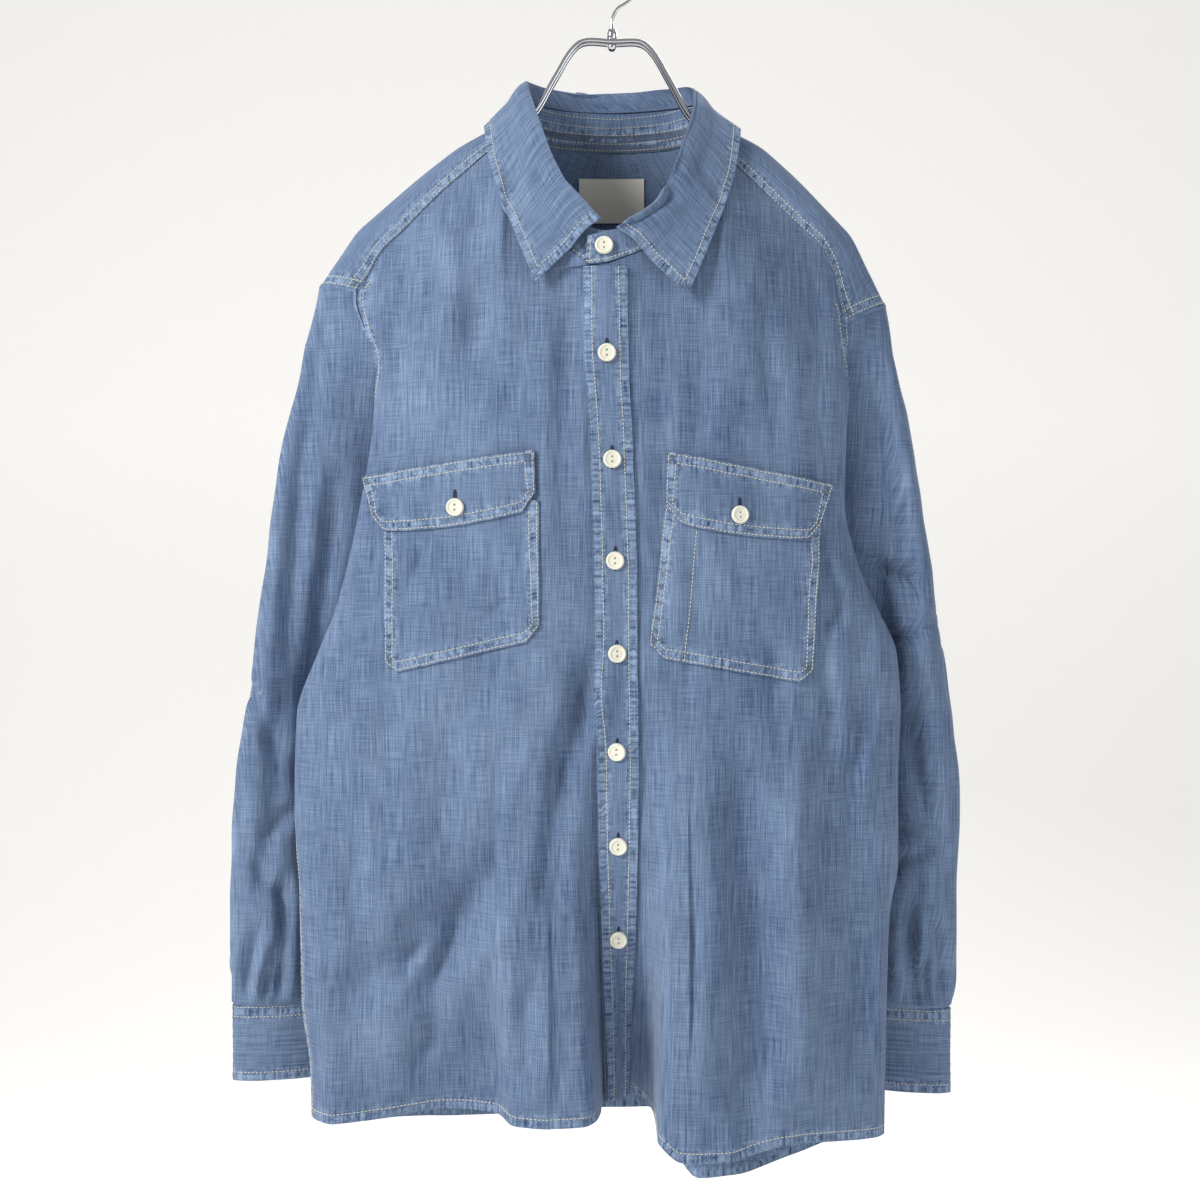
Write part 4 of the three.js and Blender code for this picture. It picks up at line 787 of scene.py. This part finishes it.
def wire(tree, value, socket):
    """Wires a socket to another node's output, or sets it to a plain value."""
    if isinstance(value, bpy.types.NodeSocket):
        tree.links.new(value, socket)
    else:
        socket.default_value = value


def add_node(tree, kind, inputs=None, **settings):
    """A shader node with its settings, and its inputs set to values or wired to outputs."""
    node = tree.nodes.new("ShaderNode" + kind)
    for key, value in settings.items():
        setattr(node, key, value)
    for key, value in (inputs or {}).items():
        wire(tree, value, node.inputs[key])
    return node


def math_node(tree, operation, a, b):
    return add_node(tree, "Math", {0: a, 1: b}, operation=operation).outputs[0]


def noise_node(tree, vector, detail, roughness):
    values = {"Vector": vector, "Scale": 1.0, "Detail": detail, "Roughness": roughness}
    return add_node(tree, "TexNoise", values).outputs["Fac"]


def stretched_noise(tree, vector, scale_x, scale_y, detail=2.0, offset=0.0):
    """Noise over the cloth, drawn out along its warp or its weft."""
    values = {"Vector": vector, "Scale": (scale_x, scale_y, 1), "Location": (offset, offset, 0)}
    return noise_node(tree, add_node(tree, "Mapping", values).outputs["Vector"], detail, 0.6)


def weighted_sum(tree, a, share_a, b, share_b):
    """Two values added, each times its share."""
    parts = (math_node(tree, "MULTIPLY", value, share) for value, share in ((a, share_a), (b, share_b)))
    return math_node(tree, "ADD", *parts)


def weave_group():
    """Slubby warp and weft streaks over slow clouds: puts out a shade from 0 to 1 and a height."""
    outputs = [("Shade", "F"), ("Height", "F")]
    tree, source, sink = node_group("chambray_weave", [("Vector", "V")], outputs)
    vector = source.outputs["Vector"]
    warp = stretched_noise(tree, vector, 1100, 34)
    weft = stretched_noise(tree, vector, 44, 1300, offset=7)
    slub = stretched_noise(tree, vector, 380, 13, detail=1, offset=3)
    cloud = stretched_noise(tree, vector, 14, 9, detail=3, offset=11)
    streaks = weighted_sum(tree, warp, 0.38, weft, 0.28)
    slow = weighted_sum(tree, slub, 0.12, cloud, 0.22)
    wire(tree, math_node(tree, "ADD", streaks, slow), sink.inputs["Shade"])
    wire(tree, streaks, sink.inputs["Height"])
    return tree


def pucker_group():
    """Seam pucker: light and dark rungs across a sewn line, from the marks on the cloth."""
    inputs, outputs = [("Near", "F"), ("Along", "F")], [("Rungs", "F"), ("Height", "F")]
    tree, source, sink = node_group("seam_pucker", inputs, outputs)
    near = source.outputs["Near"]
    along = math_node(tree, "MULTIPLY", source.outputs["Along"], 330.0)
    aside = math_node(tree, "MULTIPLY", near, 1.5)
    vector = add_node(tree, "CombineXYZ", {"X": along, "Y": aside}).outputs["Vector"]
    centred = math_node(tree, "SUBTRACT", noise_node(tree, vector, 2.0, 0.55), 0.5)
    rungs = math_node(tree, "MULTIPLY", centred, near)
    for output in ("Rungs", "Height"):
        wire(tree, rungs, sink.inputs[output])
    return tree


WEAVE = weave_group()
PUCKER = pucker_group()


def principled(name, **values):
    """A material with values set on its shader; returns it with its tree and shader."""
    material = bpy.data.materials.new(name)
    material.use_nodes = True
    shader = material.node_tree.nodes["Principled BSDF"]
    for key, value in values.items():
        shader.inputs[key.replace("_", " ")].default_value = value
    return material, material.node_tree, shader


def chambray(name, dark, light):
    """Woven cotton: a ramp from dark to light over the weave, with raised pale rungs beside seams."""
    material, tree, shader = principled(
        name, Roughness=0.88, Specular_IOR_Level=0.25, Sheen_Weight=0.25, Sheen_Roughness=0.5,
        Sheen_Tint=(0.75, 0.83, 1.0, 1),
    )
    coords = add_node(tree, "UVMap", uv_map="cloth")
    near = add_node(tree, "Attribute", attribute_name="seam_near").outputs["Fac"]
    along = add_node(tree, "Attribute", attribute_name="seam_along").outputs["Fac"]
    weave = add_node(tree, "Group", {"Vector": coords.outputs["UV"]}, node_tree=WEAVE)
    pucker = add_node(tree, "Group", {"Near": near, "Along": along}, node_tree=PUCKER)
    seam = weighted_sum(tree, pucker.outputs["Rungs"], 1.1, near, 0.06)
    shade = math_node(tree, "ADD", weave.outputs["Shade"], seam)
    ramp = add_node(tree, "ValToRGB", {"Fac": shade})
    for stop, position, colour in zip(ramp.color_ramp.elements, (0.35, 0.7), (dark, light)):
        stop.position = position
        stop.color = (*colour, 1)
    fine = {"Strength": 0.35, "Distance": 0.0004, "Height": weave.outputs["Height"]}
    rungs = {"Strength": 0.9, "Distance": 0.0022, "Height": pucker.outputs["Height"]}
    rungs["Normal"] = add_node(tree, "Bump", fine).outputs["Normal"]
    wire(tree, ramp.outputs["Color"], shader.inputs["Base Color"])
    wire(tree, add_node(tree, "Bump", rungs).outputs["Normal"], shader.inputs["Normal"])
    return material


CHAMBRAY = chambray("chambray", (0.021, 0.05, 0.13), (0.24, 0.33, 0.48))
THREAD = principled("topstitch_thread", Base_Color=(0.62, 0.60, 0.47, 1), Roughness=0.7)[0]
DARK_THREAD = principled("dark_thread", Base_Color=(0.012, 0.022, 0.06, 1), Roughness=0.8)[0]
LABEL = principled("label_cloth", Base_Color=(0.78, 0.76, 0.68, 1), Roughness=0.85)[0]
BUTTON = principled(
    "button_shell", Base_Color=(0.74, 0.73, 0.62, 1), Roughness=0.28, Coat_Weight=0.3,
    Coat_Roughness=0.2, Subsurface_Weight=0.15, Subsurface_Scale=0.002,
)[0]
CHROME = principled("chrome", Base_Color=(0.62, 0.63, 0.65, 1), Roughness=0.1, Metallic=1.0)[0]


# Panels
# Grid lines of a front: up to the shoulder, to near the centre, round the side seam, and above
FRONT_ROWS = 150
EDGE_COLUMNS = 64
CENTRE_COLUMNS = 56
ROLL_COLUMNS = 9
UPPER_ROWS = 52


def make_cloth(
    node, grid, thickness, uv, closed=False, material=CHAMBRAY
):
    """A node's cloth: a wall in place of the solid, with its material, on the root body."""
    piece = wall(node + "_cloth", grid, thickness, uv, closed, SEAMS.get(node, ()))
    finish(piece, material, node)


def level_rows(side, corner, rise, sign, inner_off, sink):
    """A front from hem to shoulder: a quarter turn at the side seam, then the face. The top rows
    rise towards the centre, and near the centre the cloth sinks under the placket."""
    levels = np.linspace(HEM_DROP, corner, FRONT_ROWS)[:, None]
    seam_x, seam_y, edge_x = (read(side, c, levels) for c in ("seam_x", "seam_y", "edge_x"))
    edge = front_point(edge_x, levels)
    turn = np.linspace(0, np.pi / 2, ROLL_COLUMNS, endpoint=False)[None]
    roll_x = seam_x + (edge_x - seam_x) * np.sin(turn)
    roll_y = seam_y + (edge[..., 1] - seam_y) * (1 - np.cos(turn))
    t = np.linspace(0, 1, EDGE_COLUMNS, endpoint=False)[None]
    outer = lerp(edge_x, centre_at(levels) + sign * CENTRE_HALF, t * t * (2 - t))
    s = np.linspace(0, 1, CENTRE_COLUMNS)[None]
    centre = centre_at(levels) + lerp(sign * CENTRE_HALF, inner_off, s)
    x = np.concatenate([outer, centre], axis=1)
    off = np.abs(x - centre_at(levels))
    risen = rise * smooth(corner + 90, corner, levels) * (x - edge_x) / (x[:, -1:] - edge_x)
    face = on_front(x, levels - risen, -sink * smooth(50, 24, off))
    rows = np.concatenate([stack(roll_x, roll_y, -edge[..., 2]), face], axis=1)
    return rows, np.concatenate([roll_x, x], axis=1)


def front_grid(side, seam_rows, neck_rows, sign, inner_off, sink):
    """A front: level rows, then rows between yoke seam and neckline spread as the last level one."""
    corner = seam_rows[0][1]
    rows, flat_x = level_rows(side, corner, corner - neck_rows[-1][1], sign, inner_off, sink)
    v = np.linspace(0, 0.985, UPPER_ROWS)[1:, None]
    seam = stepped("x drop y", seam_rows)
    neck = stepped("x drop y", neck_rows[::-1])
    last = rows[-1, :, 0]
    part = ((last - last[0]) / (last[-1] - last[0]))[None]
    upper_x, upper_drop = (lerp(read(seam, c, v), read(neck, c, v), part) for c in ("x", "drop"))
    grid = np.concatenate([rows, front_point(upper_x, upper_drop)])
    return grid, laid_flat(np.concatenate([flat_x, upper_x]), grid[..., 2])


def make_front(node, edge, side, seam_rows, neck_rows, sign, inner_off, sink):
    """A front sewn up its side seam, round its armhole and along the hem; edge is the sewn side."""
    grid, uv = front_grid(side, seam_rows, neck_rows, sign, inner_off, sink)
    if edge == "right":
        grid, uv = grid[:, ::-1], uv[:, ::-1]
    for span in ((0, 0.42), (0.42, 0.78)):
        sew(node, grid, edge, SEAM_ROWS, span=span)
    sew(node, grid, "bottom", HEM_ROW)
    make_cloth(node, grid, CLOTH, uv)


def make_back():
    """The back from seam to seam, its columns closer together near both, pressed in by folds."""
    t = np.linspace(0, 1, 150)
    t = smooth(0, 1, t) * 0.6 + t * 0.4
    levels = np.linspace(HEM_DROP, BACK_TOP, 190)[:, None]
    grid = creased(back_point(t[None], levels), BACK_FOLDS, 11)
    sew("back", grid, "bottom", HEM_ROW, group="back")
    for edge in ("left", "right"):
        sew("back", grid, edge, SEAM_ROWS, span=(0.57, 0.98), group="back")
    uv = laid_flat(-grid[..., 0] + 2000, grid[..., 2])
    make_cloth("back", grid, CLOTH, uv)


def make_yoke():
    """The yoke over both shoulders, its edges lapped over the fronts and the back."""
    edges = ("left", "right", "bottom")
    grid = yoke_point(np.linspace(1, 0, 220)[None], np.linspace(1, 0, 46)[:, None])
    for edge in edges:
        sew("yoke", grid, edge, SEAM_ROWS, group="yoke")
    for edge in edges:
        grid = lapped(grid, edge, 2, 0.7)
    uv = laid_flat(np.linspace(0, 700, grid.shape[1])[None], np.linspace(150, 0, grid.shape[0])[:, None])
    make_cloth("yoke", grid, CLOTH, uv)


def make_sleeve(node, rows, hole, sign):
    """A sleeve tube; its head runs in under the body's edge and its end runs in under the cuff."""
    step = np.linspace(0, 7, 170)[:, None]
    turn = np.linspace(0, 1, 96, endpoint=False)[None]
    turn = (1.5 - turn) % 1 if sign > 0 else (0.5 + turn) % 1
    grid = sleeve_point(rows, hole, step, turn)
    x, drop = grid[..., 0], -grid[..., 2]
    back_shift = np.where(np.sin(turn * 2 * np.pi) < 0, 26 * sign, 0)
    ends = smooth(0, 0.35, step) * smooth(7.02, 6.9, step)
    depth = (fold_sink(SLEEVE_FOLDS, x + back_shift, drop) + 0.8 * unevenness(x, drop, 5)) * ends
    grid = grid - grid_normals(grid, True) * depth[..., None]
    head, end = grid[0], grid[-1]
    under = head + unit(head - grid[2]) * 5 + unit(head.mean(axis=0) - head) * 2.5
    middle = end.mean(axis=0)
    tucked = middle + (end - middle) * (0.9, 0.66, 1) - (0, 0, 8)
    grid = np.concatenate([under[None], grid, tucked[None]])
    sew(node, grid, "left", SEAM_ROWS, span=(0.01, 0.985), group="sleeves", closed=True)
    uv = laid_flat(grid[..., 0] + 0.6 * grid[..., 1] + 900, grid[..., 2])
    make_cloth(node, grid, CLOTH, uv, closed=True)


def make_sleeve_placket(node, rows, hole):
    """The strip that binds the sleeve's opening, laid on the side away from the front."""
    def surface(turn, step):
        return sleeve_point(rows, hole, step, turn)

    turn = np.linspace(0.79, 0.715, 8)[None]
    step = np.linspace(6.97, 5.4, 44)[:, None]
    away = facing(surface, turn, step, 0.01, 0.05)
    away = away * np.where(away[..., 1:2] < 0, -1, 1)
    grid = surface(turn, step) + away * (LAID + CLOTH)
    grid = grid if grid[0, 1, 0] < grid[0, 0, 0] else grid[:, ::-1]
    for edge in ("left", "right", "top"):
        sew(node, grid, edge, (2,), group="sleeves")
    uv = laid_flat(np.linspace(0, 25, 8)[None], np.linspace(0, 120, 44)[:, None])
    make_cloth(node, grid, CLOTH, uv)


def make_cuff(node, cuff, sign):
    """A cuff's band with a slight ripple, sewn along all its edges."""
    t = np.linspace(0, 1, 110)[None] if sign > 0 else np.linspace(1, 0, 110)[None]
    drop = np.linspace(cuff["bottom"], cuff["top"], 24)[:, None]
    grid = cuff_point(cuff, t, drop)
    waves = 0.5 * np.sin(drop * 0.8 + 3 * np.sin(t * 21)) + 0.5 * np.sin(t * 60 + drop * 0.1)
    grid = grid - grid_normals(grid) * waves[..., None] * 0.35
    for edge, distances in (("top", (1.8, 9.5)), ("bottom", (6.8,)), ("left", (6,)), ("right", (6,))):
        sew(node, grid, edge, distances, group="sleeves")
    make_cloth(node, grid, CUFF_CLOTH, laid_flat(-drop, t * 240))


STAND_ROW_HEIGHTS = (2, 8, 15.5, 22, 30)


def make_stand():
    """The stand, with rows of stitches round its inside at the neck."""
    step, up = np.linspace(1, 0, 190)[None], np.linspace(0, 1, 12)[:, None]
    grid = stand_point(step, up)
    neck = dict(span=(0.22, 0.8), inside=COLLAR_CLOTH, group="collar")
    for height in STAND_ROW_HEIGHTS:
        sew("collar_stand", grid, "bottom", (height,), **neck)
    sew("collar_stand", grid, "bottom", (2.2,), group="collar")
    sew("collar_stand", grid, "left", (3,), group="collar")
    make_cloth("collar_stand", grid, COLLAR_CLOTH, laid_flat(step * 430, up * 33))


def make_leaf():
    """The leaf from its rim over the fold and down to its root on the stand."""
    down = np.concatenate([np.linspace(1, 0, 26), np.linspace(0, -1, 12)[1:]])[:, None]
    step = np.linspace(1, 0, 200)[None]
    grid = creased(leaf_point(step, down), LEAF_FOLDS, 8, size=0.4)
    sew("collar_leaf", grid, "bottom", (6.8,), trim=(1, 1), group="collar")
    for edge in ("left", "right"):
        sew("collar_leaf", grid, edge, (6.8,), span=(0, 0.66), trim=(1, 0), group="collar")
    make_cloth("collar_leaf", grid, COLLAR_CLOTH, laid_flat(step * 460, -down * 62))


def make_placket():
    """A band a lift off the front, centred on the line of the buttons."""
    drop = np.linspace(HEM_DROP - 1, 269.5, 190)[:, None]
    off = np.linspace(-PLACKET_HALF, PLACKET_HALF, 14)[None]
    grid = on_front(centre_at(drop) + off, drop, PLACKET_LIFT)
    for edge in ("left", "right"):
        sew("placket", grid, edge, (6.6,))
    make_cloth("placket", grid, CLOTH, laid_flat(off, -drop))


def laid_place(shape, across, down):
    """Where a place of a laid piece lies: between its corners, corners cut, lower edge bellied."""
    (ax, bx, cx, dx), (ad, bd, cd, dd) = shape["x"], shape["drop"]
    x = lerp(lerp(ax, bx, across), lerp(dx, cx, across), down)
    drop = lerp(lerp(ad, bd, across), lerp(dd, cd, across), down)
    aside = np.abs(2 * across - 1)
    cut = shape["corner"] * np.maximum(0, aside * 6 - 5)
    return x, drop + down * (shape["belly"] * (1 - aside ** 2) - cut)


def make_laid(node, shape, layers, edges):
    """A pocket or flap that lies some layers of cloth off the front, sewn along its edges."""
    x, drop = laid_place(shape, np.linspace(0, 1, 60)[None], np.linspace(1, 0, 50)[:, None])
    grid = on_front(x, drop, layers * (LAID + CLOTH))
    for edge in edges:
        sew(node, grid, edge, (1.6, 7.8), trim=(1, 1), group="pockets")
    make_cloth(node, grid, CLOTH, laid_flat(x, -drop))


def sew_pen_slot():
    """One row down the left pocket that parts off the pen slot."""
    share = np.linspace(0, 1, 30)
    x, drop = lerp(64, 54, share), lerp(470, 570, share)
    ROWS["pockets"].append((on_front(x, drop, LAID + CLOTH), facing(front_point, x, drop)))


def make_label():
    """A label inside the yoke; x moves along it by what a hundredth of a turn moves at the back."""
    along = np.linspace(0.56, 0.2, 12)[:, None]
    x = np.linspace(27, -27, 16)[None]
    turn = 0.5 + x * 0.01 / yoke_point(0.51, along)[..., 0]
    grid = yoke_point(turn, along) + (0, -CLOTH - LAID - 0.2, 0)
    uv = laid_flat(x, along * 100)
    make_cloth("neck_label", grid, 0.7, uv, material=LABEL)


# Buttons and their holes
def make_button(node, middle, out):
    """A polar field of heights: a rounded rim, a flat dish, two deep holes and a flat back."""
    radius = np.concatenate([[0.02], np.linspace(0.25, BUTTON_RADIUS, 28)])[None]
    angle = np.linspace(0, 2 * np.pi, 64, endpoint=False)[:, None]
    a, b = radius * np.cos(angle), radius * np.sin(angle)
    hole = np.minimum(np.hypot(a, b - HOLE_APART), np.hypot(a, b + HOLE_APART))
    height = 1.75 + 0.65 * smooth(4.4, 5.4, radius) - 1.5 * smooth(6.1, BUTTON_RADIUS, radius) ** 2
    height = height - 1.5 * smooth(1.05, 0.75, hole)
    out = unit(np.asarray(out, float))
    side = unit(np.cross((0, 0, 1), out))
    up = np.cross(out, side)
    top = middle + a[..., None] * side + b[..., None] * up + height[..., None] * out
    back = middle + a[:, -1:, None] * side + b[:, -1:, None] * up
    grid = np.concatenate([top, back, middle + 0 * back], axis=1).transpose(1, 0, 2)
    faces = grid_faces(*grid.shape[:2], closed=True)[:, ::-1]
    finish(mesh_object(node + "_disc", grid.reshape(-1, 3), faces), BUTTON, node)


def make_buttonhole(name, x, drop, lift):
    """An upright buttonhole: a low oval bank of dark thread with a sunk slit."""
    half, half_width = 9.5, 1.5
    share = np.linspace(-1, 1, 13)[None]
    long = np.linspace(half, -half, 40)[:, None]
    rise = 0.45 * np.exp(-((np.abs(share) - 0.55) / 0.3) ** 2) * smooth(half, 8.2, np.abs(long))
    width = half_width * np.sqrt(np.maximum(1 - (long / 9.7) ** 6, 0.02))
    grid = on_front(x + share * width, drop + long, lift + rise)
    finish(wall(name, grid, 0.5, laid_flat(share * half_width, long)), DARK_THREAD)


def fasten(button, hole, x, drop, lift, above):
    """A button on a piece that lies a lift off the front, and its buttonhole a little higher."""
    x, drop = np.array(float(x)), np.array(float(drop))
    make_button(button, on_front(x, drop, lift + 0.5), facing(front_point, x, drop))
    make_buttonhole(hole, x, drop - above, lift)


BUTTON_DROPS = (335, 416, 493, 564, 639, 712, 787)


def make_fastenings():
    """The buttons in their places: down the front, on the flaps and on the cuffs' laps."""
    for i, drop in enumerate(BUTTON_DROPS, start=2):
        fasten(f"front_button_{i}", f"front_buttonhole_{i}", centre_at(drop), drop, PLACKET_LIFT, 1.5)
    make_button("front_button_1", np.array([-6.5, -80.9, -254]), (-0.02, -1, 0.12))
    for name, x, drop in (("right_flap", -120, 452), ("left_flap", 96, 458)):
        fasten(name + "_button", name + "_buttonhole", x, drop, 2 * (CLOTH + LAID), 4)
    for name, cuff in (("right_cuff", LEFT_CUFF), ("left_cuff", RIGHT_CUFF)):
        middle = (cuff["bottom"] + cuff["top"]) / 2
        along = cuff_point(cuff, 0.98, middle) - cuff_point(cuff, 0.94, middle)
        out = unit(np.cross(along, (0, 0, -1)))
        out = out if out[1] > 0 else -out
        make_button(name + "_button", cuff_point(cuff, 0.96, middle) + out * 0.9, out)


# The hanger
def make_rings(name, node, grid):
    """Chrome in place of a solid, from rings of points."""
    faces = grid_faces(*grid.shape[:2], closed=True)
    finish(mesh_object(name, grid.reshape(-1, 3), faces), CHROME, node)


def tube(name, node, line, radius, closed):
    """A round bar: a circle across the line at each point, drawn to points at open ends."""
    ahead = np.roll(line, -1, axis=0) - np.roll(line, 1, axis=0) if closed else np.gradient(line, axis=0)
    ahead = unit(ahead)
    side = unit(np.cross(ahead, (0, 1, 0.001)))
    up = np.cross(side, ahead)
    angle = np.linspace(0, 2 * np.pi, 16, endpoint=False)[None, :, None]
    size = np.full((len(line), 1, 1), radius)
    if not closed:
        size[[0, -1]] = 0.02
    grid = line[:, None] + size * (np.cos(angle) * side[:, None] + np.sin(angle) * up[:, None])
    make_rings(name, node, np.vstack([grid, grid[:1]]) if closed else grid)


def lathed(name, node, corners):
    """A turned piece on the hanger's axis from its radii and drops, closed on the axis."""
    radius, drop = np.array(corners, float).T[..., None]
    angle = np.linspace(0, 2 * np.pi, 48, endpoint=False)[None]
    make_rings(name, node, stack(radius * np.cos(angle), radius * np.sin(angle), drop))


HANGER_ROD = [
    (0, 75, 4.5), (23, 75, 4.5), (32, 82, 4.6), (46, 105, 5), (63, 134, 5.6), (86, 152.6, 6),
    (105, 160.6, 6.6), (130, 179.9, 7), (150, 197.9, 7), (165, 212, 6.6), (178, 228, 6),
    (185, 235.5, 4.5),
]
TIP_X, TIP_DROP = 190, 237


def make_hanger():
    """Two rods that meet at both tips, tilted as one; the hook is a shank and an arc of a circle."""
    x, drop, y = np.array(HANGER_ROD).T
    front, back = (stack(x, s * y, drop + HANGER_TILT * x) for s in (-1, 1))
    far_back, far_front = (stack(-x, s * y, drop - HANGER_TILT * x)[1:] for s in (1, -1))
    tip, far_tip = (np.array([[s * TIP_X, 0, -TIP_DROP - s * HANGER_TILT * TIP_X]]) for s in (1, -1))
    path = np.vstack([front, tip, back[::-1], far_back, far_tip, far_front[::-1]])
    tube("hanger_rods_bar", "hanger_rods", curve(path, 500)[:-1], ROD_RADIUS, True)
    angle = np.linspace(-0.3, 1.08, 16) * np.pi
    arc_drop = HOOK_RADIUS - WIRE_RADIUS - HOOK_RADIUS * np.sin(angle)
    shank = stack(np.array([0, 0, 0, 4.0]), 0, np.array([77, 66, 57, 48.0]))
    path = np.vstack([shank, stack(HOOK_RADIUS * np.cos(angle), 0, arc_drop)])
    tube("hanger_hook_wire", "hanger_hook", curve(path, 200, closed=False), WIRE_RADIUS, False)
    lathed("hanger_ferrule_sleeve", "hanger_ferrule", [
        (1.9, 72.6), (3.6, 72.6), (4, 72.2), (4, 67), (3, 64), (2.6, 63.8), (1.9, 63.9), (1.9, 72.6),
    ])
    lathed("hanger_screw_head", "hanger_screw", [
        (0.02, 82), (1.6, 81.7), (2.6, 81), (3.8, 79), (3.9, 78), (3.8, 77.4), (0.02, 77.3),
    ])


make_front("right_front", "left", LEFT_SIDE, LEFT_YOKE_SEAM, LEFT_NECK, -1, UNDERLAP_HALF, UNDERLAP_SINK)
make_front(
    "left_front", "right", RIGHT_SIDE, RIGHT_YOKE_SEAM[::-1], (OVERLAP_NECK + RIGHT_NECK)[::-1], 1,
    -PLACKET_HALF - 0.3, 0,
)
make_back()
make_yoke()
make_label()
LEFT_HOLE = armhole(LEFT_SIDE, [0.24, 0.2, 0.16, 0.12, 0.08, 0.04, 0.01], -1)
RIGHT_HOLE = armhole(RIGHT_SIDE, [0.76, 0.8, 0.84, 0.88, 0.92, 0.96, 0.99], 1)
make_sleeve("right_sleeve", LEFT_SLEEVE, LEFT_HOLE, 1)
make_sleeve("left_sleeve", RIGHT_SLEEVE, RIGHT_HOLE, -1)
make_sleeve_placket("right_sleeve_placket", LEFT_SLEEVE, LEFT_HOLE)
make_sleeve_placket("left_sleeve_placket", RIGHT_SLEEVE, RIGHT_HOLE)
make_cuff("right_cuff", LEFT_CUFF, 1)
make_cuff("left_cuff", RIGHT_CUFF, -1)
make_stand()
make_leaf()
make_placket()
for node, shape in POCKETS.items():
    make_laid(node, shape, 1, ("left", "right", "bottom"))
for node, shape in FLAPS.items():
    make_laid(node, shape, 2, ("left", "right", "bottom", "top"))
sew_pen_slot()
make_fastenings()
make_hanger()
for group, rows in ROWS.items():
    finish(stitch_mesh("stitches_" + group, rows), THREAD)


# Stage, light and camera
def make_stage():
    """A pale floor that sweeps up behind: a quarter circle joins the level floor to the upright back."""
    half, radius, floor, far = 6000, 1500, 1500, 2300
    turn = np.linspace(0, np.pi / 2, 24)
    y = np.concatenate([[-5000], far + radius * np.sin(turn), [far + radius]])[:, None]
    drop = np.concatenate([[floor], floor - radius * (1 - np.cos(turn)), [-4000]])[:, None]
    grid = stack(np.array([[-half, half]]), y, drop)
    sweep = mesh_object("sweep", grid.reshape(-1, 3), grid_faces(len(y), 2))
    material, _, _ = principled(
        "pale_paint", Base_Color=(0.84, 0.83, 0.81, 1), Roughness=0.9,
        Emission_Color=(0.9, 0.89, 0.87, 1), Emission_Strength=0.3,
    )
    sweep.data.materials.append(material)


# Lights: name, place, size, power and colour; all aim at the middle of the shirt
LIGHTS = (
    ("key", (-2.1, -1.5, 0.8), (1.0, 1.0), 88, (1.0, 0.98, 0.95)),
    ("fill", (2.0, -1.8, -0.2), (1.4, 2.0), 15, (0.94, 0.97, 1.0)),
    ("behind", (0.6, 2.0, 1.0), (2.0, 1.2), 30, (1.0, 1.0, 1.0)),
)
LIGHT_TARGET = (0, 0, -0.5)


def add_light(name, place, size, power, colour):
    """A soft rectangular lamp turned towards the target."""
    data = bpy.data.lights.new(name, "AREA")
    data.shape = "RECTANGLE"
    data.size, data.size_y = size
    data.energy = power
    data.color = colour
    lamp = link_object(name, data)
    lamp.location = place
    x, y, z = np.array(LIGHT_TARGET, float) - np.array(place, float)
    lamp.rotation_euler = (math.atan2(math.hypot(x, y), -z), 0, math.atan2(-x, y))


def make_light():
    for light in LIGHTS:
        add_light(*light)
    world = bpy.data.worlds.new("studio")
    world.use_nodes = True
    background = world.node_tree.nodes["Background"]
    background.inputs["Color"].default_value = (0.86, 0.87, 0.88, 1)
    background.inputs["Strength"].default_value = 0.42
    bpy.context.scene.world = world


def make_camera():
    """Level with the shirt's middle, as in the photo: 1740 pixels of focal length to 1200 of width."""
    data = bpy.data.cameras.new("camera")
    data.sensor_width = 36
    data.lens = 36 * 1740 / 1200
    camera = link_object("camera", data)
    camera.location = (-0.00966, -1.4, -0.523)
    camera.rotation_euler = (math.pi / 2, 0, 0)
    bpy.context.scene.camera = camera


make_stage()
make_light()
make_camera()
bpy.context.scene.view_settings.view_transform = "Standard"
